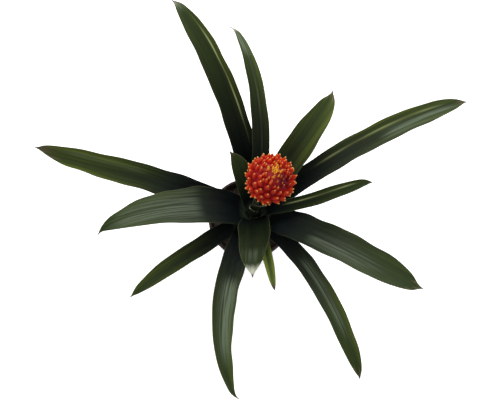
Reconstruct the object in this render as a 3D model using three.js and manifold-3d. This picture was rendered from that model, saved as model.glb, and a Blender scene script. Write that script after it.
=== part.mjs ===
// A potted guzmania: fourteen strap leaves round a short stem, one round flower head, soil and a pot.
// Millimetres, +Z up. The origin is the middle of the pot's underside, and -Y is the plant's front.
import * as THREE from 'three';
import { mergeVertices } from 'three/addons/utils/BufferGeometryUtils.js';
import Module from 'manifold-3d';

const wasm = await Module();
wasm.setup();

const DEGREE = Math.PI / 180;
const FULL_TURN = 2 * Math.PI;
const GOLDEN_ANGLE = Math.PI * (3 - Math.sqrt(5));
const CLEARANCE = 0.3; // between any two pieces that touch on the real plant

// Pot: a tapered nursery pot with a stiff band round its rim, and a foot ring and a middle pad under it
const POT = {
  height: 105,
  rimRadius: 60,
  baseRadius: 43,
  wall: 1.6,
  floor: 2,
  bandHeight: 12,
  bandStep: 1.8, // how far the band stands proud of the wall
  standHeight: 2.5, // the floor's underside is this far above the surface that the pot stands on
  standWidth: 5,
  padRadius: 9, // the pad bears the middle of the floor under the wet soil
  rounding: 0.8,
  drainHoles: 6,
  drainRadius: 4,
  drainCircle: 26, // radius of the circle that the drain holes' centres lie on
  drainSides: 10,
  sides: 36,
};

// Soil: its top is a sum of waves, each with a height, and radians for each millimetre and each turn
const SOIL = {
  level: 95,
  edgeDrop: 4.8, // how far it falls off at the pot's wall
  edgeWidth: 1.6,
  ringStep: 8,
  sides: 30,
  waves: [
    { height: 1.1, outward: 0.37, round: 3 },
    { height: 0.8, outward: 0.61, round: -5 },
    { height: 0.6, outward: 1, round: 9 },
  ],
};

// Crown: the short stem that carries the leaves, a little to the right of the pot's middle
const CROWN = {
  x: 8,
  y: 0,
  rootRadius: 9,
  rootDepth: 38, // below the soil's level
  shoulderDepth: 12,
  footGap: 1.15, // straight down from a leaf's foot to the crown's slope
  sides: 24,
};

// Leaf tiers: 1 is the innermost. Each further tier starts lower and further out.
const TIERS = {
  count: 8,
  radius: 8,
  radiusStep: 2,
  height: 4, // of the outermost tier's feet, above the soil's level
  heightStep: 2.2,
  sheathPitch: 82, // degrees from level, at a leaf's foot
  turnLength: 36, // along a leaf, over which the innermost sheath opens out
  turnStep: 3,
};

// Stalk: it carries the flower head, and pointed bracts hug it
const STALK = {
  radius: 4.6,
  footFlare: 1.4,
  flareFall: 3, // a higher number ends the flare nearer to the foot
  straight: 45, // length of its upright start, and of its end in line with the head
  sections: 8,
  sides: 10,
};
const STALK_BRACT = {
  count: 6,
  firstHeight: 24, // up the stalk, to the foot of the lowest bract
  spacing: 13.5,
  length: 36,
  width: 17,
  taper: 2.5, // a higher number keeps the bract wide nearer to its tip
  spread: 9, // how far the tip stands off the stalk
  spreadLate: 1.8, // how late along the bract it does so
  firstTurn: 215, // degrees from +X
  thickness: 0.9,
  rootShare: 0.3, // share of its length that is sunk into the stalk
  rootSink: 1.2,
  steps: 5,
  across: 4,
};

// Flower head: an egg-shaped core, and bracts in a golden-angle spiral with their tips on a larger egg
const HEAD = {
  centre: new THREE.Vector3(27.5, 0, 272),
  lean: 9, // degrees from upright, towards +X
  core: { radius: 27.5, top: 37, bottom: 25 },
  tips: { radius: 35.2, top: 44.5, bottom: 29.5 },
  coreRows: 7,
  coreSides: 14,
  lowestBract: 118, // degrees from the head's top
  bractSpacing: 11.5, // between the tips of full-size bracts
  bractWidth: 19,
  bractDepth: 11.5,
  bractMiddle: 0.5, // share of its length at which a bract starts to point
  middleSize: 0.55, // width and depth there, as a share of the root's
  bractDip: 26, // degrees that the root of a bract on the head's side is lower than its tip
  bractBulge: 1.4, // how far a bract's middle stands out, so that its tip turns up
  youngGrowth: 0.45, // size of the topmost bract, as a share of a full one
  youngReach: 62, // degrees from the head's top, where the bracts reach full size
  rootSink: 3.5,
  socketDepth: 9,
};

// Leaves. wrap: degrees that the sheath reaches round the crown to each side of the midrib.
// azimuth: heading at the foot, in degrees from +X. sweep: how far the heading turns by the tip,
// late: how late it turns, and sway: a turn to one side and back. rise and end: pitch above the
// sheath and at the tip. taper: a higher number keeps the blade wide nearer to its tip. roll: twist
// about the midrib at the tip. hook: how far the drip tip turns to the left. Angles in degrees.
const LEAVES = [
  {
    name: 'leaf_right_small', tier: 1, wrap: 120,
    azimuth: -14, sweep: 33, late: 1, sway: -5,
    rise: 61.5, end: -8.5, length: 211, width: 18.5, taper: 9, roll: 6, hook: -18,
  },
  {
    name: 'leaf_back_inner', tier: 2, wrap: 65,
    azimuth: 115.5, sweep: 22.5, late: 2.3, sway: 4.5,
    rise: 86, end: 40.5, length: 138, width: 29.5, taper: 6.5, roll: 4, hook: 0,
  },
  {
    name: 'leaf_front_inner', tier: 2, wrap: 65,
    azimuth: -93.5, sweep: 4.5, late: 1, sway: 3.5,
    rise: 76, end: -5, length: 166, width: 45, taper: 6, roll: 13, hook: 0,
  },
  {
    name: 'leaf_back_right', tier: 3, wrap: 55,
    azimuth: 47.5, sweep: 15.5, late: 3.3, sway: -0.5,
    rise: 61.5, end: -2, length: 229, width: 41, taper: 6.5, roll: 5, hook: 15,
  },
  {
    name: 'leaf_left_wide', tier: 3, wrap: 60,
    azimuth: 189, sweep: 8.5, late: 2.2, sway: 1,
    rise: 60.5, end: -47, length: 272, width: 60, taper: 3, roll: 16, hook: 30,
  },
  {
    name: 'leaf_front_right_wide', tier: 4, wrap: 52,
    azimuth: -36, sweep: 7.5, late: 2.5, sway: -0.5,
    rise: 57.5, end: -15.5, length: 311, width: 43, taper: 9, roll: 1, hook: 18,
  },
  {
    name: 'leaf_back', tier: 4, wrap: 50,
    azimuth: 78.5, sweep: 39.5, late: 1.3, sway: 1,
    rise: 63.5, end: -16.5, length: 301, width: 25, taper: 5.5, roll: 34, hook: 25,
  },
  {
    name: 'leaf_back_left_long', tier: 5, wrap: 60,
    azimuth: 95.5, sweep: 29.5, late: 0.8, sway: 0.5,
    rise: 51, end: -11, length: 347, width: 34.5, taper: 7, roll: -4, hook: 15,
  },
  {
    name: 'leaf_front_long', tier: 5, wrap: 60,
    azimuth: -111, sweep: 50, late: 2.2, sway: 0.5,
    rise: 42.5, end: -36, length: 312, width: 35.5, taper: 6, roll: -51, hook: 30,
  },
  {
    name: 'leaf_right_long', tier: 6, wrap: 55,
    azimuth: 27.5, sweep: -8, late: 0.9, sway: -1,
    rise: 50.5, end: -15, length: 357, width: 32, taper: 8.5, roll: 6, hook: -8,
  },
  {
    name: 'leaf_left_long', tier: 6, wrap: 55,
    azimuth: 171.5, sweep: -12, late: 3.2, sway: -0.5,
    rise: 44, end: -8, length: 337, width: 36, taper: 9, roll: -55, hook: 12,
  },
  {
    name: 'leaf_front_right_long', tier: 7, wrap: 42,
    azimuth: -48.5, sweep: -21, late: 0.8, sway: 1,
    rise: 46, end: -34, length: 308, width: 25.5, taper: 9, roll: 0, hook: -8,
  },
  {
    name: 'leaf_front_left', tier: 7, wrap: 42,
    azimuth: -144.5, sweep: 4, late: 0.7, sway: 3,
    rise: 39, end: -22, length: 224, width: 26, taper: 5.5, roll: -8, hook: 0,
  },
  {
    name: 'leaf_front_narrow', tier: 8, wrap: 40,
    azimuth: -76, sweep: -0.5, late: 1.7, sway: 2,
    rise: 34, end: -27.5, length: 110, width: 13, taper: 5.5, roll: 0, hook: 0,
  },
];
const BLADE = {
  bendLate: 1.4, // how late along a leaf it bends down
  channel: 24, // degrees that the open blade still curls up to each side
  sheathLength: 34,
  sheathEnd: 1.5, // a higher number ends the sheath more sharply
  curlLength: 41, // along a leaf, over which the sheath's curl opens into the channel
  curlEnd: 1.3, // a higher number opens the curl more sharply
  neckDepth: 0.06, // share by which a blade narrows above its sheath
  neckPlace: 0.2,
  neckReach: 0.16,
  tipFullness: 0.85,
  tipReach: 0.22, // length of the drip tip, as a share of the blade's width
  tipPoint: 1.33, // a higher number makes the drip tip thinner
  tipHalfWidth: 0.9,
  hookReach: 22, // length of the drip tip that turns
  midThickness: 1.2,
  edgeThickness: 0.75,
  leastThickness: 0.62,
  thinEnd: 0.1, // share of the leaf over which it thins to its tip
  thinShare: 0.5, // thickness at the tip, as a share of the thickness before it
  steps: 20,
  walkSteps: 16, // small steps along the midrib between two stations
  crowding: 0.55, // 0 spaces the stations evenly, and 1 crowds them most at the foot and the tip
  across: 4,
};

// Finishes
const finish = (color, roughness) => new THREE.MeshStandardMaterial({ color, roughness, metalness: 0 });
const FINISHES = {
  pot: finish(0x4a2c22, 0.6),
  soil: finish(0x2f211a, 0.95),
  stem: finish(0x33452a, 0.55),
  bract: finish(0xd0301a, 0.45),
  leaf: finish(0x22331f, 0.35),
};

// Helpers
const { clamp, lerp, mapLinear } = THREE.MathUtils;
const share = (i, count) => i / count;
const list = (count, make) => Array.from({ length: count }, (_, i) => make(i));

function indexedGeometry(points, faces) {
  const geometry = new THREE.BufferGeometry();
  const positions = points.flatMap((p) => [p.x, p.y, p.z]);
  geometry.setAttribute('position', new THREE.Float32BufferAttribute(positions, 3));
  geometry.setIndex(faces.flat());
  return geometry;
}

// A closed tube through equal rings of points. Each end closes on a tip, or on its own middle.
function tube(rings, startTip = null, endTip = null) {
  const n = rings[0].length;
  const points = rings.flat();
  const faces = [];
  for (let j = 0; j + 1 < rings.length; j++) {
    for (let i = 0; i < n; i++) {
      const a = j * n + i;
      const b = j * n + ((i + 1) % n);
      faces.push([a, b, b + n], [a, b + n, a + n]);
    }
  }
  const middle = (ring) => ring.reduce((sum, p) => sum.add(p), new THREE.Vector3()).divideScalar(n);
  const last = (rings.length - 1) * n;
  const start = points.push(startTip ?? middle(rings[0])) - 1;
  const end = points.push(endTip ?? middle(rings[rings.length - 1])) - 1;
  for (let i = 0; i < n; i++) {
    const next = (i + 1) % n;
    faces.push([next, i, start], [last + i, last + next, end]);
  }
  return indexedGeometry(points, faces);
}

// A closed thin sheet between two equal grids of points, with both faces split along the same diagonals.
// Seen from the front, a row's points run to the right and the rows run upwards.
function sheet(back, front) {
  const rows = front.length;
  const columns = front[0].length;
  const points = [...back.flat(), ...front.flat()];
  const place = (layer, j, i) => (layer * rows + j) * columns + i;
  const faces = [];
  for (let j = 0; j + 1 < rows; j++) {
    for (let i = 0; i + 1 < columns; i++) {
      for (const layer of [0, 1]) {
        const [a, b] = [place(layer, j, i), place(layer, j, i + 1)];
        const [c, d] = [place(layer, j + 1, i + 1), place(layer, j + 1, i)];
        if (layer === 0) faces.push([a, c, b], [a, d, c]);
        else faces.push([a, b, c], [a, c, d]);
      }
    }
  }
  // The rim runs once round both grids.
  const rim = [
    ...list(columns - 1, (i) => [0, i]),
    ...list(rows - 1, (j) => [j, columns - 1]),
    ...list(columns - 1, (i) => [rows - 1, columns - 1 - i]),
    ...list(rows - 1, (j) => [rows - 1 - j, 0]),
  ];
  rim.forEach(([j, i], k) => {
    const [nextJ, nextI] = rim[(k + 1) % rim.length];
    const [a, b] = [place(0, j, i), place(0, nextJ, nextI)];
    const [c, d] = [place(1, nextJ, nextI), place(1, j, i)];
    faces.push([a, b, c], [a, c, d]);
  });
  return indexedGeometry(points, faces);
}

// A closed outline of [radius, height] turned about the Z axis.
function turned(outline, sides) {
  const points = outline.map(([radius, height]) => new THREE.Vector2(radius, height));
  return new THREE.LatheGeometry(points, sides).rotateX(Math.PI / 2);
}

function toSolid(geometry) {
  const bare = geometry.clone();
  bare.deleteAttribute('normal');
  bare.deleteAttribute('uv');
  const merged = mergeVertices(bare);
  const vertProperties = new Float32Array(merged.attributes.position.array);
  const triVerts = new Uint32Array(merged.index.array);
  return new wasm.Manifold(new wasm.Mesh({ numProp: 3, vertProperties, triVerts }));
}

function toGeometry(solid) {
  const mesh = solid.getMesh();
  const geometry = new THREE.BufferGeometry();
  geometry.setAttribute('position', new THREE.BufferAttribute(mesh.vertProperties, 3));
  geometry.setIndex(new THREE.BufferAttribute(mesh.triVerts, 1));
  geometry.computeVertexNormals();
  return geometry;
}

function named(name, geometry, material) {
  const mesh = new THREE.Mesh(geometry, material);
  mesh.name = name;
  return mesh;
}

// Pot
const wallRadius = (z) => mapLinear(z, 0, POT.height, POT.baseRadius, POT.rimRadius - POT.bandStep);
const innerRadius = (z) => wallRadius(z) - POT.wall;
const floorTop = POT.standHeight + POT.floor;

function potGeometry() {
  const bandFoot = POT.height - POT.bandHeight;
  const body = turned(
    [
      [0, 0],
      [POT.padRadius, 0],
      [POT.padRadius, POT.standHeight],
      [POT.baseRadius - POT.standWidth, POT.standHeight],
      [POT.baseRadius - POT.standWidth, 0],
      [POT.baseRadius - POT.rounding, 0],
      [wallRadius(POT.rounding), POT.rounding],
      [wallRadius(bandFoot), bandFoot],
      [POT.rimRadius, bandFoot],
      [POT.rimRadius, POT.height - POT.rounding],
      [POT.rimRadius - POT.rounding, POT.height],
      [innerRadius(POT.height), POT.height],
      [innerRadius(floorTop), floorTop],
      [0, floorTop],
    ],
    POT.sides,
  );
  const hole = new THREE.CylinderGeometry(POT.drainRadius, POT.drainRadius, 2 * floorTop, POT.drainSides)
    .rotateX(Math.PI / 2)
    .translate(POT.drainCircle, 0, POT.standHeight);
  const holes = list(POT.drainHoles, (i) => hole.clone().rotateZ(share(i, POT.drainHoles) * FULL_TURN));
  return toGeometry(holes.reduce((solid, cut) => solid.subtract(toSolid(cut)), toSolid(body)));
}

// Crown
const tierRadius = (tier) => TIERS.radius + TIERS.radiusStep * (tier - 1);
const tierHeight = (tier) => SOIL.level + TIERS.height + TIERS.heightStep * (TIERS.count - tier);
const shoulderRadius = tierRadius(TIERS.count) + BLADE.midThickness;
const crownTop = tierHeight(1) - CROWN.footGap + TIERS.heightStep / 2;

// The buried end of the crown, with a margin all round where it is the hole in the soil.
function rootOutline(margin) {
  const bottom = SOIL.level - CROWN.rootDepth - margin;
  return [
    [0, bottom],
    [CROWN.rootRadius + margin, bottom],
    [shoulderRadius + margin, SOIL.level - CROWN.shoulderDepth - margin],
  ];
}

function crownGeometry() {
  const slope = TIERS.heightStep / TIERS.radiusStep;
  const foot = (radius) => tierHeight(1) - CROWN.footGap - (radius - tierRadius(1)) * slope;
  const innermost = tierRadius(1) - TIERS.radiusStep / 2;
  const outline = [
    ...rootOutline(0),
    [shoulderRadius, foot(shoulderRadius)],
    [innermost, foot(innermost)],
    [0, foot(innermost)],
  ];
  return turned(outline, CROWN.sides).translate(CROWN.x, CROWN.y, 0);
}

// Soil: it fills the pot to below the rim, with a lumpy top and a plain hole for the crown
function soilGeometry() {
  const swell = (wave, radius, turn) => wave.height * Math.sin(wave.outward * radius + wave.round * turn);
  const lump = (radius, turn) => SOIL.waves.reduce((sum, wave) => sum + swell(wave, radius, turn), 0);
  const ring = (radius, heightAt) =>
    list(SOIL.sides, (i) => {
      const turn = share(i, SOIL.sides) * FULL_TURN;
      return new THREE.Vector3(radius * Math.cos(turn), radius * Math.sin(turn), heightAt(turn));
    });
  const bottom = floorTop + CLEARANCE;
  const edgeHeight = SOIL.level - SOIL.edgeDrop;
  // The pot's wall is many-sided, so the soil keeps clear of the flats between its corners.
  const inside = (z) => innerRadius(z) * Math.cos(Math.PI / POT.sides) - CLEARANCE;
  const rings = [ring(inside(bottom), () => bottom), ring(inside(edgeHeight), () => edgeHeight)];
  for (let radius = inside(edgeHeight) - SOIL.edgeWidth; radius > SOIL.ringStep; radius -= SOIL.ringStep) {
    rings.push(ring(radius, (turn) => SOIL.level + lump(radius, turn)));
  }
  const axis = (z) => new THREE.Vector3(0, 0, z);
  const body = toSolid(tube(rings, axis(bottom), axis(SOIL.level)));
  const hole = [...rootOutline(CLEARANCE), [shoulderRadius + CLEARANCE, POT.height], [0, POT.height]];
  const cut = turned(hole, CROWN.sides).translate(CROWN.x, CROWN.y, 0);
  return toGeometry(body.subtract(toSolid(cut)));
}

// Stalk: it leaves the crown upright, and leans over until it lies on the head's axis
const headAxis = new THREE.Vector3(Math.sin(HEAD.lean * DEGREE), 0, Math.cos(HEAD.lean * DEGREE));
const sideways = new THREE.Vector3(0, 1, 0);
const upright = new THREE.Vector3(0, 0, 1);
const stalkFoot = new THREE.Vector3(CROWN.x, CROWN.y, crownTop - TIERS.heightStep);
const stalkTopShift = HEAD.socketDepth - HEAD.core.bottom - CLEARANCE; // from the head's centre
const stalkTop = HEAD.centre.clone().addScaledVector(headAxis, stalkTopShift);
const stalkCurve = new THREE.CubicBezierCurve3(
  stalkFoot,
  stalkFoot.clone().addScaledVector(upright, STALK.straight),
  stalkTop.clone().addScaledVector(headAxis, -STALK.straight),
  stalkTop,
);
const stalkLength = stalkCurve.getLength();

// A ring about the stalk's line at share t of it, square to the line.
function stalkRing(t, radius) {
  const front = new THREE.Vector3().crossVectors(sideways, stalkCurve.getTangent(t)).normalize();
  return list(STALK.sides, (i) => {
    const turn = share(i, STALK.sides) * FULL_TURN;
    return stalkCurve
      .getPoint(t)
      .addScaledVector(front, radius * Math.cos(turn))
      .addScaledVector(sideways, radius * Math.sin(turn));
  });
}

function stalkGeometry() {
  const rings = list(STALK.sections + 1, (j) => {
    const t = share(j, STALK.sections);
    return stalkRing(t, STALK.radius + STALK.footFlare * (1 - t) ** STALK.flareFall);
  });
  return tube(rings);
}

// A pointed bract: its foot hugs the stalk, and its tip stands off.
function stalkBractGeometry(k) {
  const foot = STALK_BRACT.firstHeight + k * STALK_BRACT.spacing;
  const middle = STALK_BRACT.firstTurn * DEGREE - k * GOLDEN_ANGLE;
  const grid = (offset) =>
    list(STALK_BRACT.steps + 1, (j) => {
      const s = share(j, STALK_BRACT.steps);
      const centre = stalkCurve.getPointAt(clamp((foot + s * STALK_BRACT.length) / stalkLength, 0, 1));
      const radius = STALK.radius + STALK_BRACT.spread * s ** STALK_BRACT.spreadLate + offset(s);
      const half = (STALK_BRACT.width / 2) * (1 - s ** STALK_BRACT.taper) + BLADE.tipHalfWidth;
      return list(STALK_BRACT.across + 1, (i) => {
        const turn = middle + (half / radius) * (2 * share(i, STALK_BRACT.across) - 1);
        const out = new THREE.Vector3(Math.cos(turn), Math.sin(turn), 0);
        return centre.clone().addScaledVector(out, radius);
      });
    });
  const inner = grid((s) => (s < STALK_BRACT.rootShare ? -STALK_BRACT.rootSink : 0));
  const outer = grid(() => STALK_BRACT.thickness);
  return sheet(inner, outer);
}

function stemGeometry() {
  const bracts = list(STALK_BRACT.count, stalkBractGeometry);
  return toGeometry(wasm.Manifold.union([crownGeometry(), stalkGeometry(), ...bracts].map(toSolid)));
}

// Flower head
const headFront = new THREE.Vector3().crossVectors(sideways, headAxis);

// The way out from the head's axis, as long as the sine of the angle to it.
function levelOut(angle, turn) {
  const out = Math.sin(angle);
  return new THREE.Vector3()
    .addScaledVector(headFront, out * Math.cos(turn))
    .addScaledVector(sideways, out * Math.sin(turn));
}

// A place on an egg round the head's centre, from its angle to the head's axis and its turn about it.
function onEgg(egg, angle, turn, scale = 1) {
  const along = Math.cos(angle) * (Math.cos(angle) > 0 ? egg.top : egg.bottom);
  return HEAD.centre
    .clone()
    .addScaledVector(headAxis, along * scale)
    .addScaledVector(levelOut(angle, turn), egg.radius * scale);
}

// Size of a bract at an angle from the head's top, as a share of a full one.
const bractGrowth = (angle) => lerp(HEAD.youngGrowth, 1, clamp(angle / (HEAD.youngReach * DEGREE), 0, 1));

// The bracts' angles from the head's top. Each takes a patch of the outer egg that is as large as itself,
// and a patch lowers the cosine of the angle by its share of the area of half a ball.
function bractAngles() {
  const halfBall = FULL_TURN * HEAD.tips.radius ** 2;
  const angles = [];
  let cosine = 1;
  while (cosine > Math.cos(HEAD.lowestBract * DEGREE)) {
    const patch = (HEAD.bractSpacing * bractGrowth(Math.acos(cosine))) ** 2 / halfBall;
    angles.push(Math.acos(cosine - patch / 2));
    cosine -= patch;
  }
  return angles;
}

// A four-sided spike. It runs from inside the core to the egg of the tips, and bulges out on the way.
function headBractGeometry(angle, k) {
  const turn = k * GOLDEN_ANGLE;
  const dip = HEAD.bractDip * DEGREE * Math.sin(angle);
  const root = onEgg(HEAD.core, angle + dip, turn, 1 - HEAD.rootSink / HEAD.core.radius);
  const tip = onEgg(HEAD.tips, angle, turn);
  const out = levelOut(angle, turn);
  const across = new THREE.Vector3().crossVectors(headAxis, out).normalize();
  const growth = bractGrowth(angle);
  const bulge = 4 * HEAD.bractBulge; // a parabola's rise is four times its height
  const ring = (s, size) => {
    const middle = root.clone().lerp(tip, s).addScaledVector(out, bulge * s * (1 - s));
    const along = tip.clone().sub(root).addScaledVector(out, bulge * (1 - 2 * s));
    const back = along.cross(across).normalize();
    return [[1, 0], [0, 1], [-1, 0], [0, -1]].map(([w, d]) =>
      middle
        .clone()
        .addScaledVector(across, (w * size * growth * HEAD.bractWidth) / 2)
        .addScaledVector(back, (d * size * growth * HEAD.bractDepth) / 2),
    );
  };
  return tube([ring(0, 1), ring(HEAD.bractMiddle, HEAD.middleSize)], null, tip);
}

function headGeometry() {
  const rows = list(HEAD.coreRows - 1, (j) => {
    const angle = Math.PI * (1 - share(j + 1, HEAD.coreRows));
    return list(HEAD.coreSides, (i) => onEgg(HEAD.core, angle, share(i, HEAD.coreSides) * FULL_TURN));
  });
  const core = tube(rows, onEgg(HEAD.core, Math.PI, 0), onEgg(HEAD.core, 0, 0));
  const bracts = bractAngles().map(headBractGeometry);
  // The bracts close off small pockets at their roots, so only the outermost shell is kept.
  const shells = wasm.Manifold.union([core, ...bracts].map(toSolid)).decompose();
  const head = shells.reduce((largest, shell) => (shell.volume() > largest.volume() ? shell : largest));
  // The stalk's top stands in a plain socket, with clearance at its side and its end.
  const socketRing = (distance) => {
    const shift = headAxis.clone().multiplyScalar(distance);
    return stalkRing(1, STALK.radius + CLEARANCE).map((p) => p.add(shift));
  };
  const socket = tube([socketRing(-2 * HEAD.socketDepth), socketRing(CLEARANCE)]);
  return toGeometry(head.subtract(toSolid(socket)));
}

// Leaves
const pitchAt = (leaf, s) => {
  const turnLength = TIERS.turnLength - TIERS.turnStep * (leaf.tier - 1);
  const sheath = (TIERS.sheathPitch - leaf.rise) * Math.exp((-s * leaf.length) / turnLength);
  return (leaf.rise + sheath - (leaf.rise - leaf.end) * s ** BLADE.bendLate) * DEGREE;
};
const headingAt = (leaf, s) => {
  const hook = leaf.hook * (1 - THREE.MathUtils.smoothstep((1 - s) * leaf.length, 0, BLADE.hookReach));
  return (leaf.azimuth + leaf.sweep * s ** leaf.late + leaf.sway * Math.sin(s * FULL_TURN) + hook) * DEGREE;
};

function directionAt(leaf, s) {
  const pitch = pitchAt(leaf, s);
  const heading = headingAt(leaf, s);
  const level = Math.cos(pitch);
  return new THREE.Vector3(level * Math.cos(heading), level * Math.sin(heading), Math.sin(pitch));
}

// Half the width, measured round the curl: the sheath, then a long blade, then the drip tip.
function halfWidthAt(leaf, s) {
  const toTip = ((1 - s) * leaf.length) / (BLADE.tipReach * leaf.width);
  const outline = (1 - s ** leaf.taper) ** BLADE.tipFullness * (1 - Math.exp(-(toTip ** BLADE.tipPoint)));
  const neck = 1 - BLADE.neckDepth * Math.exp(-(((s - BLADE.neckPlace) / BLADE.neckReach) ** 2));
  const blade = (leaf.width / 2) * outline * neck + BLADE.tipHalfWidth;
  const sheath = tierRadius(leaf.tier) * leaf.wrap * DEGREE;
  const opened = 1 - Math.exp(-(((s * leaf.length) / BLADE.sheathLength) ** BLADE.sheathEnd));
  return lerp(sheath, blade, opened);
}

// How far the section curls to each side: round the crown at the foot, a shallow channel above.
function curlAt(leaf, s) {
  const closed = Math.exp(-(((s * leaf.length) / BLADE.curlLength) ** BLADE.curlEnd));
  return lerp(BLADE.channel, leaf.wrap, closed) * DEGREE;
}

// The midrib's points at the stations, found by walking along it in small steps.
function midribPoints(leaf, stations) {
  const heading = headingAt(leaf, 0);
  const radius = tierRadius(leaf.tier);
  const point = new THREE.Vector3(
    CROWN.x + radius * Math.cos(heading),
    CROWN.y + radius * Math.sin(heading),
    tierHeight(leaf.tier),
  );
  return stations.map((s, j) => {
    const from = j ? stations[j - 1] : 0;
    for (let k = 0; k < BLADE.walkSteps; k++) {
      const at = lerp(from, s, (k + 0.5) / BLADE.walkSteps);
      point.addScaledVector(directionAt(leaf, at), ((s - from) * leaf.length) / BLADE.walkSteps);
    }
    return point.clone();
  });
}

function leafGeometry(leaf) {
  // The stations lie closer together at the foot and at the tip, where the blade changes most.
  const stations = list(BLADE.steps + 1, (j) => {
    const even = share(j, BLADE.steps);
    return lerp(even, (1 - Math.cos(Math.PI * even)) / 2, BLADE.crowding);
  });
  const midrib = midribPoints(leaf, stations);
  const grid = (side) =>
    stations.map((s, j) => {
      const tangent = directionAt(leaf, s);
      const heading = headingAt(leaf, s);
      const level = new THREE.Vector3(-Math.sin(heading), Math.cos(heading), 0);
      const across = level.applyAxisAngle(tangent, leaf.roll * DEGREE * s);
      const up = new THREE.Vector3().crossVectors(tangent, across);
      const curl = curlAt(leaf, s);
      const bow = halfWidthAt(leaf, s) / curl;
      const thin = lerp(BLADE.thinShare, 1, clamp((1 - s) / BLADE.thinEnd, 0, 1));
      return list(BLADE.across + 1, (i) => {
        const u = 2 * share(i, BLADE.across) - 1;
        const full = lerp(BLADE.midThickness, BLADE.edgeThickness, u * u) * thin;
        const radius = bow + (side * Math.max(full, BLADE.leastThickness)) / 2;
        return midrib[j]
          .clone()
          .addScaledVector(across, radius * Math.sin(curl * u))
          .addScaledVector(up, bow - radius * Math.cos(curl * u));
      });
    });
  // Its upper face is the one nearer to the middle of the curl.
  const [upper, under] = [grid(-1), grid(1)];
  return sheet(upper, under);
}

// The plant
const plant = new THREE.Group();
plant.name = 'guzmania';
plant.add(named('pot', potGeometry(), FINISHES.pot));
plant.add(named('soil', soilGeometry(), FINISHES.soil));
plant.add(named('stem', stemGeometry(), FINISHES.stem));
plant.add(named('flower_head', headGeometry(), FINISHES.bract));
for (const leaf of LEAVES) plant.add(named(leaf.name, leafGeometry(leaf), FINISHES.leaf));

export default plant;
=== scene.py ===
"""The looks of a potted guzmania: leaves, flower head, stalk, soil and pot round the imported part.

Sizes are in millimetres, as the plant's drawing has them, and each mesh is written in metres.
The origin is the middle of the pot's underside, with +Z up and -Y at the plant's front.
"""

import logging
from abc import ABC, abstractmethod
from dataclasses import dataclass, field
from enum import Enum
from typing import ClassVar

import bpy
import numpy as np
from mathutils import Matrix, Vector


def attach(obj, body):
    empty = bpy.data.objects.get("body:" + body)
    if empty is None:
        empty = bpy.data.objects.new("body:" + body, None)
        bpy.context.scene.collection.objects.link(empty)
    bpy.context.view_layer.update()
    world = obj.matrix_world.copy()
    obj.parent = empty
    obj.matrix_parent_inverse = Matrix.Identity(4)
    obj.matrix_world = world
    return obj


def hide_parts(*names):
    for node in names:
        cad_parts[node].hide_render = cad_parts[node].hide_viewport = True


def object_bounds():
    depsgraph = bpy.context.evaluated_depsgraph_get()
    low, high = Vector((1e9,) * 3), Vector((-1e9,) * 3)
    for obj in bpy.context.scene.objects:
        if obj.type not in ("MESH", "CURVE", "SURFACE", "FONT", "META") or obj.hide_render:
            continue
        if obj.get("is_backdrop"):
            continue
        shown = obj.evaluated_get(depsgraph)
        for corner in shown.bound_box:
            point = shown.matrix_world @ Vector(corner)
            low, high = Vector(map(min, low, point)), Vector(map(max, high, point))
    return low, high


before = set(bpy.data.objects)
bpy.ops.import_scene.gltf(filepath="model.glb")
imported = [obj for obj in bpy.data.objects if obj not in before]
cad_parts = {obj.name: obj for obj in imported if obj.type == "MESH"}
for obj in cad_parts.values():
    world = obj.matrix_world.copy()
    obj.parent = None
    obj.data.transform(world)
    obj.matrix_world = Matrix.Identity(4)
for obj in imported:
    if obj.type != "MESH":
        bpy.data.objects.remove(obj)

LOG = logging.getLogger("guzmania")
MM = 0.001
FULL_TURN = 2 * np.pi
GOLDEN_ANGLE = np.pi * (3 - np.sqrt(5))
UP = np.array([0.0, 0.0, 1.0])
SIDEWAYS = np.array([0.0, 1.0, 0.0])
WHITE = (1.0, 1.0, 1.0, 1.0)
MOST_NOISE = (0.3, 0.7)
Colour = tuple[float, float, float]
Socket = bpy.types.NodeSocket
Span = tuple[float, float]
StreakSize = tuple[float, float, float]


class Slot(Enum):
    """The kinds of finish, one for each kind of piece."""

    POT = "pot"
    SOIL = "soil"
    STEM = "stem"
    BRACT = "bract"
    LEAF = "leaf"


class Paint(Enum):
    """The rows of three values that a mesh carries for its finish.

    STRAP: millimetres across from the midrib, millimetres along from the foot, number of the piece.
    ZONE: share of the length from the foot, millimetres to the margin, and the distance to a leaf's
    tip in lengths of its dry tip.
    TRAIT: a leaf's tone, how olive it is and how strong the painted highlight along its ridge is.
    For a bract of the head its tone, how yellow it is and how far it lies in the parting, which sets
    the parting's painted shade, and for soil a chip's tone.
    FACE: 1 on a leaf's underside, how pale its tip is, and the strength of its painted sheen, a
    grey-green satin band painted into the colour.
    """

    STRAP = "strap"
    ZONE = "zone"
    TRAIT = "trait"
    FACE = "face"


# Helpers for shapes


def unit(vectors: np.ndarray) -> np.ndarray:
    """Vectors along the last axis, each divided by its length."""
    return vectors / np.linalg.norm(vectors, axis=-1, keepdims=True)


def lerp(low: np.ndarray | float, high: np.ndarray | float, share: np.ndarray | float) -> np.ndarray:
    """The value at a share of the way from low to high."""
    return low + (high - low) * share


def smooth_step(value: np.ndarray, low: float, high: float) -> np.ndarray:
    """0 up to low and 1 from high, with a soft S between them: 3 t squared less 2 t cubed."""
    t = np.clip((value - low) / (high - low), 0, 1)
    return t * t * (3 - 2 * t)


def hill(value: np.ndarray, middle: float, reach: float) -> np.ndarray:
    """A bell: e to the power of less the square of the distance from the middle over the reach."""
    return np.exp(-(((value - middle) / reach) ** 2))


def faded(s: np.ndarray, spans: tuple[Span, Span]) -> np.ndarray:
    """1 but near both ends: it sets in over the first span of s and dies out over the second of 1 - s."""
    return smooth_step(s, *spans[0]) * smooth_step(1 - s, *spans[1])


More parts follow.
